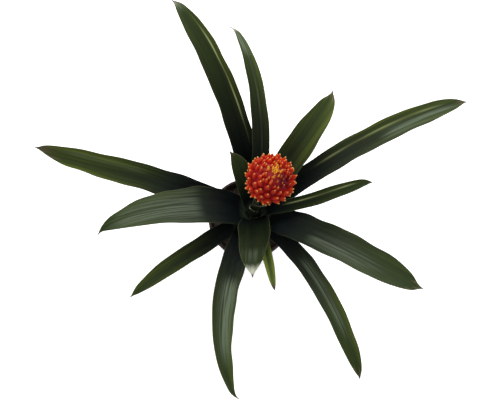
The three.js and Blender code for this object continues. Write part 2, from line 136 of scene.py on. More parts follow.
def rounded_off(u: np.ndarray, power: float) -> np.ndarray:
    """The root of one less u to a power, for u from -1 to 1: 1 inside, and 0 at both margins."""
    return np.sqrt(np.clip(1 - np.abs(u) ** power, 0, 1))


def turns(count: int) -> np.ndarray:
    """Even turns round a full circle, in radians, from 0 up."""
    return np.arange(count) / count * FULL_TURN


def stacked(*parts: np.ndarray | float) -> np.ndarray:
    """Values brought to one shape and set side by side along a new last axis."""
    return np.stack(np.broadcast_arrays(*parts), axis=-1)


def on_line(at: np.ndarray, length: np.ndarray, points: np.ndarray) -> np.ndarray:
    """Points at distances along a line, of which length holds the distance of each given point."""
    return stacked(*(np.interp(at, length, axis) for axis in points.T))


@dataclass
class Surface:
    """A closed mesh as whole arrays, in millimetres.

    points holds x, y and z of each vertex, quads and triangles hold vertex numbers, and values
    holds rows of three numbers for each vertex under the name of each kind of paint.
    """

    points: np.ndarray
    quads: np.ndarray
    triangles: np.ndarray
    values: dict[Paint, np.ndarray] = field(default_factory=dict)

    @staticmethod
    def joined(parts: list["Surface"]) -> "Surface":
        """One surface of several, each keeping its own vertices.

        Args:
            parts: the surfaces, which carry the same kinds of paint.

        Returns:
            The surface that holds them all.
        """
        starts = np.cumsum([0] + [len(part.points) for part in parts[:-1]])
        return Surface(
            np.concatenate([part.points for part in parts]),
            np.concatenate([part.quads + start for part, start in zip(parts, starts)]),
            np.concatenate([part.triangles + start for part, start in zip(parts, starts)]),
            {kind: np.concatenate([part.values[kind] for part in parts]) for kind in parts[0].values},
        )

    def to_object(self, name: str) -> bpy.types.Object:
        """Writes the surface as a smooth-shaded mesh object at the origin, in metres.

        Args:
            name: the name of the piece.

        Returns:
            The object, linked to the scene.
        """
        mesh = bpy.data.meshes.new(name)
        mesh.from_pydata((self.points * MM).tolist(), [], self.quads.tolist() + self.triangles.tolist())
        mesh.shade_smooth()
        for kind, rows in self.values.items():
            layer = mesh.attributes.new(kind.value, "FLOAT_VECTOR", "POINT")
            layer.data.foreach_set("vector", rows.astype(np.float32).ravel())
        mesh.update()
        piece = bpy.data.objects.new(name, mesh)
        bpy.context.scene.collection.objects.link(piece)
        return piece


def tubes(
    rings: np.ndarray,
    start: np.ndarray | None = None,
    end: np.ndarray | None = None,
    values: dict[Paint, np.ndarray] | None = None,
) -> Surface:
    """Closed tubes, each carried through its rings, with a fan of triangles to a point at each end.

    A ring runs anticlockwise as seen by an eye that the tube travels towards, so the faces point
    outwards. Vertex number = ring times columns plus column, and each quad joins a vertex to the
    next one in its ring and to the same two in the next ring.

    Args:
        rings: points of shape (copies, rows, columns, 3).
        start: the closing points at the first rings, of shape (copies, 3). Their middles if left out.
        end: the closing points at the last rings.
        values: rows of paint of the rings' shape.

    Returns:
        The surface of all the tubes.
    """
    copies, rows, columns, _ = rings.shape
    start = rings[:, 0].mean(axis=1) if start is None else start
    end = rings[:, -1].mean(axis=1) if end is None else end
    ring = np.arange(columns)
    following = (ring + 1) % columns
    base = columns * np.arange(rows - 1)[:, None]
    quads = stacked(base + ring, base + following, base + columns + following, base + columns + ring)
    pole = rows * columns
    last = pole - columns
    fans = [stacked(following, ring, pole), stacked(last + ring, last + following, pole + 1)]
    offsets = (np.arange(copies) * (pole + 2))[:, None, None]

    def flat(grid: np.ndarray, first: np.ndarray, final: np.ndarray) -> np.ndarray:
        """The rings' rows, then those of the two poles, for each copy in turn."""
        blocks = [grid.reshape(copies, -1, 3), first[:, None], final[:, None]]
        return np.concatenate(blocks, axis=1).reshape(-1, 3)

    paint = {
        kind: flat(grid, grid[:, 0].mean(axis=1), grid[:, -1].mean(axis=1))
        for kind, grid in (values or {}).items()
    }
    return Surface(
        flat(rings, start, end),
        (quads.reshape(1, -1, 4) + offsets).reshape(-1, 4),
        (np.concatenate(fans)[None] + offsets).reshape(-1, 3),
        paint,
    )


def rounded(corners: np.ndarray, radius: float, steps: int = 5) -> np.ndarray:
    """An outline whose corners are replaced by short curves.

    Each corner's curve is a parabola: from a point on the edge before it to one on the edge after
    it, both a radius away or 0.45 of the edge if that is shorter, and drawn towards the corner.

    Args:
        corners: points of shape (count, 2). The first and the last stay sharp.
        radius: how far from a corner its curve starts.
        steps: points in each curve.

    Returns:
        The points of the finer outline.
    """
    inner, before, after = corners[1:-1], corners[:-2], corners[2:]
    longest_share = 0.45

    def beside(edge: np.ndarray) -> np.ndarray:
        """Each curve's end on the edge that leads away from its corner."""
        length = np.linalg.norm(edge, axis=1, keepdims=True)
        return (inner + edge * np.minimum(radius / length, longest_share))[:, None]

    t = np.linspace(0, 1, steps)[None, :, None]
    start, end = beside(before - inner), beside(after - inner)
    curves = (1 - t) ** 2 * start + 2 * t * (1 - t) * inner[:, None] + t**2 * end
    return np.concatenate([corners[:1], curves.reshape(-1, 2), corners[-1:]])


def rings_about(outline: np.ndarray, turn: np.ndarray, shift: np.ndarray) -> np.ndarray:
    """Rings about the Z axis: radius times (cosine, sine) of the turn, plus the shift, at the height.

    Args:
        outline: radius and height of each ring.
        turn: the angle of each point of a ring.
        shift: x and y that the rings are moved by, for each ring or for all.

    Returns:
        Points of shape (rings, turns, 3).
    """
    radius, height = outline[:, :1], outline[:, 1:]
    shift = np.broadcast_to(shift, outline.shape)
    return stacked(radius * np.cos(turn) + shift[:, :1], radius * np.sin(turn) + shift[:, 1:], height)


def closed(rings: np.ndarray) -> Surface:
    """One tube through rings, of which the first and the last stand for the two poles."""
    return tubes(rings[None, 1:-1], rings[None, 0].mean(axis=1), rings[None, -1].mean(axis=1))


def turned(outline: np.ndarray, sides: int, place: Span = (0.0, 0.0)) -> Surface:
    """An outline turned about an upright axis. It runs from pole to pole, the bottom first."""
    return closed(rings_about(outline, turns(sides), np.array(place)))


# Helpers for finishes


class Graph:
    """A node tree, with a short call for each kind of node that the finishes use."""

    def __init__(self, tree: bpy.types.NodeTree) -> None:
        """Takes the tree that the nodes go into."""
        self.tree = tree

    def add(self, kind: str, inputs: dict | None = None, **settings: object) -> bpy.types.Node:
        """Adds a node.

        Args:
            kind: the node's type.
            inputs: a socket to link or a value to set, under each input's name or number.
            settings: the node's own settings.

        Returns:
            The node.
        """
        node = self.tree.nodes.new(kind)
        for name, setting in settings.items():
            setattr(node, name, setting)
        for key, value in (inputs or {}).items():
            if isinstance(value, Socket):
                self.tree.links.new(value, node.inputs[key])
            else:
                node.inputs[key].default_value = value
        return node

    def paint(self, kind: Paint) -> list[Socket]:
        """The three values of a mesh's paint, each as a socket."""
        attribute = self.add("ShaderNodeAttribute", attribute_name=kind.value)
        return list(self.add("ShaderNodeSeparateXYZ", {0: attribute.outputs["Vector"]}).outputs)

    def place(self) -> Socket:
        """Object coordinates, in metres."""
        return self.add("ShaderNodeTexCoord").outputs["Object"]

    def vector(self, *parts: object) -> Socket:
        """Three values as one vector or colour."""
        return self.add("ShaderNodeCombineXYZ", dict(enumerate(parts))).outputs[0]

    def maths(self, operation: str, *values: object) -> Socket:
        """One sum on two or three numbers or sockets."""
        return self.add("ShaderNodeMath", dict(enumerate(values)), operation=operation).outputs[0]

    def between(
        self, value: object, low: float, high: float, start: object = 0.0, end: object = 1.0
    ) -> Socket:
        """A smooth step from start, where the value is low, to end, where it is high."""
        inputs = {"Value": value, "From Min": low, "From Max": high, "To Min": start, "To Max": end}
        return self.add("ShaderNodeMapRange", inputs, interpolation_type="SMOOTHSTEP").outputs["Result"]

    def noise(self, vector: Socket, scale: object, detail: object) -> Socket:
        """Soft noise from 0 to 1."""
        inputs = {"Vector": vector, "Scale": scale, "Detail": detail}
        return self.add("ShaderNodeTexNoise", inputs).outputs["Fac"]

    def mix(self, share: object, first: object, second: object, blend: str = "MIX") -> Socket:
        """The mix of two colours, by a share from 0 to 1."""
        named = {0: share, 6: rgba(first), 7: rgba(second)}
        return self.add("ShaderNodeMix", named, data_type="RGBA", blend_type=blend).outputs[2]

    def toned(self, colour: Socket, tone: Socket) -> Socket:
        """A colour times a number."""
        return self.mix(1.0, colour, self.vector(tone, tone, tone), "MULTIPLY")

    def ramp(self, value: Socket, stops: dict[float, Colour]) -> Socket:
        """A colour that changes with a value.

        Args:
            value: from 0 to 1.
            stops: the colour at each value, between which it changes evenly.

        Returns:
            The colour.
        """
        node = self.add("ShaderNodeValToRGB", {0: value})
        elements = node.color_ramp.elements
        first, *inner, last = sorted(stops.items())
        for element, (position, colour) in zip(elements, (first, last)):
            element.position = position
            element.color = rgba(colour)
        for position, colour in inner:
            elements.new(position).color = rgba(colour)
        return node.outputs["Color"]

    def bump(self, height: Socket, depth: float) -> Socket:
        """A normal from a height of 0 to 1 that stands for a depth in metres."""
        return self.add("ShaderNodeBump", {"Height": height, "Distance": depth}).outputs["Normal"]


def rgba(value: object) -> object:
    """A colour with its fourth number, or the socket as it is."""
    return (*value, 1.0) if isinstance(value, tuple) else value


def shade(red: int, green: int, blue: int) -> Colour:
    """A colour as the renderer counts it, from the 0 to 255 numbers of a screen."""
    screen = np.array([red, green, blue]) / 255
    return tuple(np.where(screen <= 0.04045, screen / 12.92, ((screen + 0.055) / 1.055) ** 2.4).tolist())


class Effect(ABC):
    """A value from 0 to 1 that changes over a surface, as a node group that several finishes share."""

    name: str
    inputs: tuple[str, ...]
    output: str

    @abstractmethod
    def value(self, graph: Graph, given: bpy.types.NodeOutputs) -> Socket:
        """Wires up the group's nodes.

        Args:
            graph: the group's graph.
            given: the sockets of the group's inputs.

        Returns:
            The value that it puts out.
        """

    def tree(self) -> bpy.types.NodeTree:
        """The group with its named sockets, built when it is first asked for.

        Returns:
            The node tree.
        """
        if self.name in bpy.data.node_groups:
            return bpy.data.node_groups[self.name]
        tree = bpy.data.node_groups.new(self.name, "ShaderNodeTree")
        for label in self.inputs:
            tree.interface.new_socket(name=label, in_out="INPUT", socket_type="NodeSocketFloat")
        tree.interface.new_socket(name=self.output, in_out="OUTPUT", socket_type="NodeSocketFloat")
        graph = Graph(tree)
        given = graph.add("NodeGroupInput").outputs
        graph.add("NodeGroupOutput", {self.output: self.value(graph, given)})
        return tree

    def put(self, graph: Graph, *values: float) -> Socket:
        """Places the group in a material, with a value for each of its inputs in turn."""
        node = graph.add("ShaderNodeGroup", dict(zip(self.inputs, values)), node_tree=self.tree())
        return node.outputs[self.output]


class Streaks(Effect):
    """Long soft streaks along a strap. Width and Length are the millimetres across and along one."""

    name = "long_streaks"
    inputs = ("Width", "Length", "Detail")
    output = "Streak"
    apart = 13.7

    def value(self, graph: Graph, given: bpy.types.NodeOutputs) -> Socket:
        """Noise on the strap's two distances, each divided by the size, apart from piece to piece.

        Args:
            graph: the group's graph.
            given: the sockets of the group's inputs.

        Returns:
            The streaks.
        """
        across, along, number = graph.paint(Paint.STRAP)
        place = graph.vector(
            graph.maths("DIVIDE", across, given["Width"]),
            graph.maths("DIVIDE", along, given["Length"]),
            graph.maths("MULTIPLY", number, self.apart),
        )
        return graph.between(graph.noise(place, 1.0, given["Detail"]), *MOST_NOISE)


class Mottle(Effect):
    """Soft blotches. Size is the metres across one, and Grain the strength of finer noise in it."""

    name = "mottle"
    inputs = ("Size", "Grain")
    output = "Blotch"
    finer = 6.0

    def value(self, graph: Graph, given: bpy.types.NodeOutputs) -> Socket:
        """Coarse noise plus a share of finer noise, less its mean, both on Object coordinates.

        Args:
            graph: the group's graph.
            given: the sockets of the group's inputs.

        Returns:
            The blotches.
        """
        place = graph.place()
        scale = graph.maths("DIVIDE", 1.0, given["Size"])
        coarse = graph.noise(place, scale, 3.0)
        fine = graph.noise(place, graph.maths("MULTIPLY", scale, self.finer), 2.0)
        total = graph.maths("MULTIPLY_ADD", graph.maths("SUBTRACT", fine, 0.5), given["Grain"], coarse)
        return graph.between(total, *MOST_NOISE)


class Finish(ABC):
    """A material. What changes over a surface is wired up, and the rest is set on the shader."""

    name: str

    @abstractmethod
    def sockets(self, graph: Graph) -> dict[str, object]:
        """What goes into the shader.

        Args:
            graph: the material's graph.

        Returns:
            A socket or an even value for each of the shader's inputs that the finish sets.
        """

    def material(self) -> bpy.types.Material:
        """Builds the material.

        Returns:
            The material, under the finish's name.
        """
        material = bpy.data.materials.new(self.name)
        material.use_nodes = True
        material.node_tree.nodes.clear()
        graph = Graph(material.node_tree)
        shader = graph.add("ShaderNodeBsdfPrincipled", self.sockets(graph))
        graph.add("ShaderNodeOutputMaterial", {"Surface": shader.outputs["BSDF"]})
        return material


@dataclass(frozen=True)
class LeafFinish(Finish):
    """Living strap leaf: near-black green low down, partly its own colour and partly painted shade of
    the rosette's hollow, olive towards the margins and the tip.

    broad, fine and lines are three kinds of streaks: millimetres across one and along it, and detail.
    """

    name: str = "leaf_skin"
    # sheath: the leaf's own pale base, made paler still as painted light in the shaded hollow of the
    # rosette.
    sheath: Colour = shade(88, 100, 84)
    # foot: near-black, partly the leaf's own dark green and partly painted shade inside the rosette.
    foot: Colour = shade(18, 23, 23)
    blade: Colour = shade(26, 35, 20)
    outer: Colour = shade(44, 57, 27)
    olive: Colour = shade(92, 106, 38)
    # A grey-green satin sheen painted into the colour in bands.
    painted_sheen: Colour = shade(118, 131, 108)
    margin: Colour = shade(104, 110, 76)
    # A painted highlight along the ridge's fold.
    ridge_highlight: Colour = shade(150, 158, 108)
    dry_tip: Colour = shade(100, 87, 68)
    dead_tip: Colour = shade(66, 54, 54)
    pale_tip: Colour = shade(186, 190, 170)
    broad: StreakSize = (5.0, 160.0, 1.0)
    fine: StreakSize = (0.9, 60.0, 3.0)
    lines: StreakSize = (2.6, 130.0, 1.5)
    fine_shadow: float = 0.3
    margin_width: float = 0.5
    margin_strength: float = 0.6
    margin_fade: float = 0.6
    underside: float = 0.35
    jag: float = 0.45
    dead_length: float = 6.0
    dead_full: float = 2.5
    dead_strength: float = 0.9
    sheath_length: float = 38.0
    sheath_full: float = 0.3
    roughness: float = 0.36
    reflectance: float = 0.13
    dull: float = 0.3
    streak_depth: float = 0.0002

    def skin(self, graph: Graph, broad: Socket, fine: Socket, lines: Socket) -> Socket:
        """The blade's colour: by the share along it, darker low down with painted shade, then olive, tone,
        the painted sheen, fine streaks and the ridge's painted highlight.

        Args:
            graph: the material's graph.
            broad: wide streaks from 0 to 1.
            fine: narrow streaks.
            lines: streaks that part the painted sheen.

        Returns:
            The colour.
        """
        share, _, _ = graph.paint(Paint.ZONE)
        tone, olive, ridge_highlight = graph.paint(Paint.TRAIT)
        _, _, painted_sheen = graph.paint(Paint.FACE)
        # Darker low down: partly the leaf's own colour, partly painted shade of the rosette's hollow.
        body = graph.ramp(share, {0.0: self.foot, 0.3: self.foot, 0.55: self.blade, 0.85: self.outer})
        ripe = graph.maths("MULTIPLY", olive, graph.between(broad, 0.1, 0.9, 0.45, 1.0))
        toned = graph.toned(graph.mix(ripe, body, self.olive), tone)
        # The painted sheen: a satin band that stands in for light glancing off the leaf, parted by the
        # lines.
        sheen_share = graph.maths("MULTIPLY", painted_sheen, graph.between(lines, 0.15, 0.6, 0.15, 0.85))
        sheened = graph.mix(sheen_share, toned, self.painted_sheen)
        streaked = graph.mix(graph.between(fine, 0.0, 1.0, self.fine_shadow, 0.0), sheened, self.foot)
        # The ridge's painted highlight.
        return graph.mix(ridge_highlight, streaked, self.ridge_highlight)

    def edged(self, graph: Graph, skin: Socket) -> Socket:
        """Adds the paler margins, which set in along the leaf, and the paler underside.

        Args:
            graph: the material's graph.
            skin: the blade's colour.

        Returns:
            The colour with both.
        """
        share, margin, _ = graph.paint(Paint.ZONE)
        under, _, _ = graph.paint(Paint.FACE)
        inner = self.margin_fade * self.margin_width
        edge = graph.between(margin, self.margin_width, inner, 0.0, self.margin_strength)
        rim = graph.maths("MULTIPLY", edge, graph.between(share, 0.2, 0.5, 0.3, 1.0))
        rimmed = graph.mix(rim, skin, self.margin)
        return graph.mix(graph.maths("MULTIPLY", under, self.underside), rimmed, self.outer)

    def ended(self, graph: Graph, skin: Socket, lines: Socket) -> Socket:
        """Adds the dry or pale tip with its ragged start, its dead end, and the pale sheath, partly
        painted light in the rosette's shaded hollow.

        Args:
            graph: the material's graph.
            skin: the leaf's colour.
            lines: streaks that the tip's start follows.

        Returns:
            The colour with all three.
        """
        share, _, tip = graph.paint(Paint.ZONE)
        _, pale, _ = graph.paint(Paint.FACE)
        _, along, _ = graph.paint(Paint.STRAP)
        softer = graph.between(pale, 0.0, 1.0, 0.8, 0.12)
        jag = graph.maths("MULTIPLY", graph.between(lines, 0.0, 1.0, -self.jag, self.jag), softer)
        strength = graph.between(pale, 0.0, 1.0, 0.75, 0.88)
        dried = graph.between(graph.maths("ADD", tip, jag), 1.0, 0.35, 0.0, strength)
        tipped = graph.mix(dried, skin, graph.mix(pale, self.dry_tip, self.pale_tip))
        left = graph.maths("SUBTRACT", graph.maths("DIVIDE", along, share), along)
        end = graph.between(left, self.dead_length, self.dead_full, 0.0, self.dead_strength)
        # The pale sheath: partly the leaf's own colour, partly painted light in the shade at the foot.
        foot = graph.between(along, self.sheath_length, self.sheath_full * self.sheath_length)
        return graph.mix(foot, graph.mix(end, tipped, self.dead_tip), self.sheath)

    def sockets(self, graph: Graph) -> dict[str, object]:
        """A satin skin with its streaks. Dark leaves are duller.

        Args:
            graph: the material's graph.

        Returns:
            A socket for each of the shader's inputs that the finish sets.
        """
        broad, fine, lines = (Streaks().put(graph, *size) for size in (self.broad, self.fine, self.lines))
        tone, _, _ = graph.paint(Paint.TRAIT)
        skin = self.edged(graph, self.skin(graph, broad, fine, lines))
        dullest = self.dull * self.reflectance
        return {
            "Base Color": self.ended(graph, skin, lines),
            "Roughness": graph.between(broad, 0.0, 1.0, self.roughness - 0.05, self.roughness + 0.08),
            "Specular IOR Level": graph.between(tone, 0.5, 1.0, dullest, self.reflectance),
            "Normal": graph.bump(fine, self.streak_depth),
        }


@dataclass(frozen=True)
class BractFinish(Finish):
    """Fleshy flower bract: dark crimson at the root, partly painted shade between the bracts, vermilion,
    then an orange-cream bead.
    """

    name: str = "bract_skin"
    # root and low: the bract's own deeper red, darkened further as painted shade of the crevices between
    # bracts. high: the orange of the tips, partly a painted highlight.
    root: Colour = shade(134, 24, 32)
    low: Colour = shade(178, 30, 32)
    body: Colour = shade(214, 50, 31)
    high: Colour = shade(236, 86, 38)
    bead: Colour = shade(255, 200, 112)
    young: Colour = shade(255, 222, 84)
    # Painted shade where the bracts part and the core shows between them.
    shaded_parting: Colour = shade(58, 20, 42)
    roughness: float = 0.4
    reflectance: float = 0.3
    grain_size: float = 0.0025
    grain: float = 0.5
    grain_tint: float = 0.25
    grain_depth: float = 0.00008

    def sockets(self, graph: Graph) -> dict[str, object]:
        """A colour by the share along each bract, with painted shade at the root, then yellow, the
        parting's painted shade and the bract's own tone.

        Args:
            graph: the material's graph.

        Returns:
            A socket or a value for each of the shader's inputs that the finish sets.
        """
        share, _, _ = graph.paint(Paint.ZONE)
        tone, young, shaded_parting = graph.paint(Paint.TRAIT)
        # Dark at the root as painted shade of the crevices, orange towards the tip partly as a painted
        # highlight.
        stops = {0.0: self.root, 0.3: self.low, 0.5: self.body, 0.84: self.high, 0.89: self.bead}
        yellow = graph.maths("MULTIPLY", young, graph.between(share, 0.4, 0.75))
        ripe = graph.mix(yellow, graph.ramp(share, stops), self.young)
        # Painted shade in the parting, on the bracts' lower parts and on the core.
        dark = graph.maths("MULTIPLY", shaded_parting, graph.between(share, 0.85, 0.5))
        toned = graph.toned(graph.mix(dark, ripe, self.shaded_parting), tone)
        blotch = Mottle().put(graph, self.grain_size, self.grain)
        return {
            "Base Color": graph.mix(graph.maths("MULTIPLY", blotch, self.grain_tint), toned, self.low),
            "Roughness": self.roughness,
            "Specular IOR Level": self.reflectance,
            "Normal": graph.bump(blotch, self.grain_depth),
        }


@dataclass(frozen=True)
class StemFinish(Finish):
    """Stalk and its bracts: dull green with fine streaks, paler at the bracts' edges."""

    name: str = "stem_skin"
    stalk: Colour = shade(50, 58, 40)
    bract: Colour = shade(66, 76, 52)
    edge: Colour = shade(150, 152, 122)
    shadow: Colour = shade(30, 34, 30)
    fine: StreakSize = (0.8, 30.0, 3.0)
    fine_shadow: float = 0.45
    edge_strength: float = 0.7
    roughness: float = 0.42
    streak_depth: float = 0.0001

    def sockets(self, graph: Graph) -> dict[str, object]:
        """A green by the share along a bract, then its streaks and its edge.

        Args:
            graph: the material's graph.

        Returns:
            A socket or a value for each of the shader's inputs that the finish sets.
        """
        share, margin, _ = graph.paint(Paint.ZONE)
        fine = Streaks().put(graph, *self.fine)
        body = graph.mix(graph.between(share, 0.2, 0.9), self.stalk, self.bract)
        streaked = graph.mix(graph.between(fine, 0.0, 1.0, self.fine_shadow, 0.0), body, self.shadow)
        rim = graph.between(margin, 0.8, 0.2, 0.0, self.edge_strength)
        return {
            "Base Color": graph.mix(rim, streaked, self.edge),
            "Roughness": self.roughness,
            "Normal": graph.bump(fine, self.streak_depth),
        }


@dataclass(frozen=True)
class SoilFinish(Finish):
    """Moist coir mix: dark brown crumbs with paler fibres."""

    name: str = "coir_mix"
    dark: Colour = shade(26, 17, 13)
    brown: Colour = shade(70, 45, 32)
    fibre: Colour = shade(120, 84, 56)
    roughness: float = 0.92
    crumb_size: float = 0.0022
    crumb_grain: float = 0.9
    crumb_depth: float = 0.0008

    def sockets(self, graph: Graph) -> dict[str, object]:
        """The crumbs' two browns, and the fibres' tint by each chip's own tone.

        Args:
            graph: the material's graph.

        Returns:
            A socket or a value for each of the shader's inputs that the finish sets.
        """
        tone, _, _ = graph.paint(Paint.TRAIT)
        crumbs = Mottle().put(graph, self.crumb_size, self.crumb_grain)
        return {
            "Base Color": graph.mix(tone, graph.mix(crumbs, self.dark, self.brown), self.fibre),
            "Roughness": self.roughness,
            "Normal": graph.bump(crumbs, self.crumb_depth),
        }


@dataclass(frozen=True)
class PotFinish(Finish):
    """Moulded brown plastic with large faint blotches and a fine grain."""

    name: str = "pot_plastic"
    body: Colour = shade(40, 25, 21)
    worn: Colour = shade(62, 44, 38)
    wear: float = 0.5
    roughness: float = 0.5
    reflectance: float = 0.3
    blotch_size: float = 0.03
    blotch_grain: float = 0.4
    grain_size: float = 0.0007
    grain: float = 0.5
    grain_depth: float = 0.00003

    def sockets(self, graph: Graph) -> dict[str, object]:
        """Two browns and two roughnesses by the blotches, and the grain's relief.

        Args:
            graph: the material's graph.

        Returns:
            A socket or a value for each of the shader's inputs that the finish sets.
        """
        blotch = Mottle().put(graph, self.blotch_size, self.blotch_grain)
        return {
            "Base Color": graph.mix(graph.maths("MULTIPLY", blotch, self.wear), self.body, self.worn),
            "Roughness": graph.between(blotch, 0.0, 1.0, self.roughness - 0.06, self.roughness + 0.1),
            "Specular IOR Level": self.reflectance,
            "Normal": graph.bump(Mottle().put(graph, self.grain_size, self.grain), self.grain_depth),
        }


@dataclass(frozen=True)
class FloorFinish(Finish):
    """White paper sweep, which glows for the camera and throws little light on the plant."""

    name: str = "paper_sweep"
    light: Colour = (0.93, 0.93, 0.93)
    dark: Colour = (0.9, 0.9, 0.9)
    dim: Colour = (0.3, 0.3, 0.3)
    glow: float = 0.6
    roughness: float = 0.8
    grain_size: float = 0.2
    grain: float = 0.5

    def sockets(self, graph: Graph) -> dict[str, object]:
        """Two whites and a glow where the camera looks, and a dim grey for all other rays.

        Args:
            graph: the material's graph.

        Returns:
            A socket or a value for each of the shader's inputs that the finish sets.
        """
        paper = graph.mix(Mottle().put(graph, self.grain_size, self.grain), self.dark, self.light)
        seen = graph.add("ShaderNodeLightPath").outputs["Is Camera Ray"]
        return {
            "Base Color": graph.mix(seen, self.dim, paper),
            "Roughness": self.roughness,
            "Emission Color": WHITE,
            "Emission Strength": graph.maths("MULTIPLY", seen, self.glow),
        }


# The plant


class Assembly(ABC):
    """A sub-assembly: one piece of the plant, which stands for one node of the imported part."""

    piece_name: str
    node: str
    slot: Slot

    @abstractmethod
    def surface(self) -> Surface:
        """The whole surface of the piece."""

    def cut(self, piece: bpy.types.Object) -> None:
        """Cuts the finished mesh, where a sub-assembly has something to cut."""

    def build(self, material: bpy.types.Material) -> None:
        """Makes the piece, gives it its finish and its place on the plant, and reports it.

        Args:
            material: the piece's finish.
        """
        piece = self.surface().to_object(self.piece_name)
        self.cut(piece)
        piece.data.materials.append(material)
        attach(piece, "root")
        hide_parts(self.node)
        LOG.info("%s: %d faces in place of %s", piece.name, len(piece.data.polygons), self.node)


@dataclass(frozen=True)
class Crown:
    """The short stem that carries the leaves. Leaf tier 1 is the innermost and highest."""

    x: float = 8
    y: float = 0
    soil_level: float = 95
    root_radius: float = 9
    root_depth: float = 38
    shoulder_depth: float = 12
    foot_gap: float = 1.15
    tiers: int = 8
    first_radius: float = 8
    radius_step: float = 2
    feet_height: float = 4
    height_step: float = 2.2
    leaf_thickness: float = 1.2

    def radius(self, tier: int) -> float:
        """Distance of a tier's feet from the crown's axis."""
        return self.first_radius + self.radius_step * (tier - 1)

    def height(self, tier: int) -> float:
        """Height of a tier's feet."""
        return self.soil_level + self.feet_height + self.height_step * (self.tiers - tier)

    @property
    def shoulder_radius(self) -> float:
        """Radius at the outermost leaves' feet."""
        return self.radius(self.tiers) + self.leaf_thickness

    @property
    def top(self) -> float:
        """Height of the crown's top, inside the innermost sheath."""
        return self.height(1) - self.foot_gap + self.height_step / 2

    def root_outline(self, margin: float) -> list[list[float]]:
        """The buried end's outline, from its bottom up to the shoulder.

        Args:
            margin: how far outside the crown it runs.

        Returns:
            Radius and height of each corner.
        """
        bottom = self.soil_level - self.root_depth - margin
        shoulder = self.soil_level - self.shoulder_depth - margin
        return [[0, bottom], [self.root_radius + margin, bottom], [self.shoulder_radius + margin, shoulder]]


@dataclass(frozen=True)
class LeafPlan:
    """One leaf: its place on the crown, its arch in degrees and millimetres, and its look.

    wrap is how far the sheath reaches round the crown to each side. The heading starts at azimuth
    and turns by sweep, later for a higher late, and sways to one side and back. The pitch goes from
    rise above the sheath to end at the tip, and the blade rolls about its midrib. A higher taper
    keeps it wide nearer to its tip. tone darkens or lightens it; on leaf_front_narrow it is painted
    light, which lightens a leaf that the leaves over it shade. olive tints it from the share
    olive_start, most at the sunny margin: 1 is the left one and -1 the right one for an eye that
    looks along the leaf. ridge_highlight is the place across of a fold with a painted highlight,
    from -1 to 1, and ridge_shine its strength. pale_tip fades the tip to cream, and hook turns the
    drip tip to the left, in degrees. painted_sheen is the strength of a grey-green satin sheen
    painted into the colour, round the place sheen_side, as wide as sheen_width, from the share
    sheen_start to the share sheen_end of the leaf. dry is the length of the dry tip.
    """

    name: str
    tier: int
    wrap: float
    azimuth: float
    sweep: float
    late: float
    sway: float
    rise: float
    end: float
    length: float
    width: float
    taper: float
    roll: float
    tone: float = 1.0
    olive: float = 0.5
    olive_start: float = 0.2
    sunny: float = 0.0
    ridge_highlight: float | None = None
    ridge_shine: float = 1.0
    pale_tip: float = 0.0
    hook: float = 0.0
    painted_sheen: float = 0.0
    sheen_side: float = 0.0
    sheen_width: float = 0.5
    sheen_start: float = 0.45
    sheen_end: float = 0.95
    dry: float = 9.0


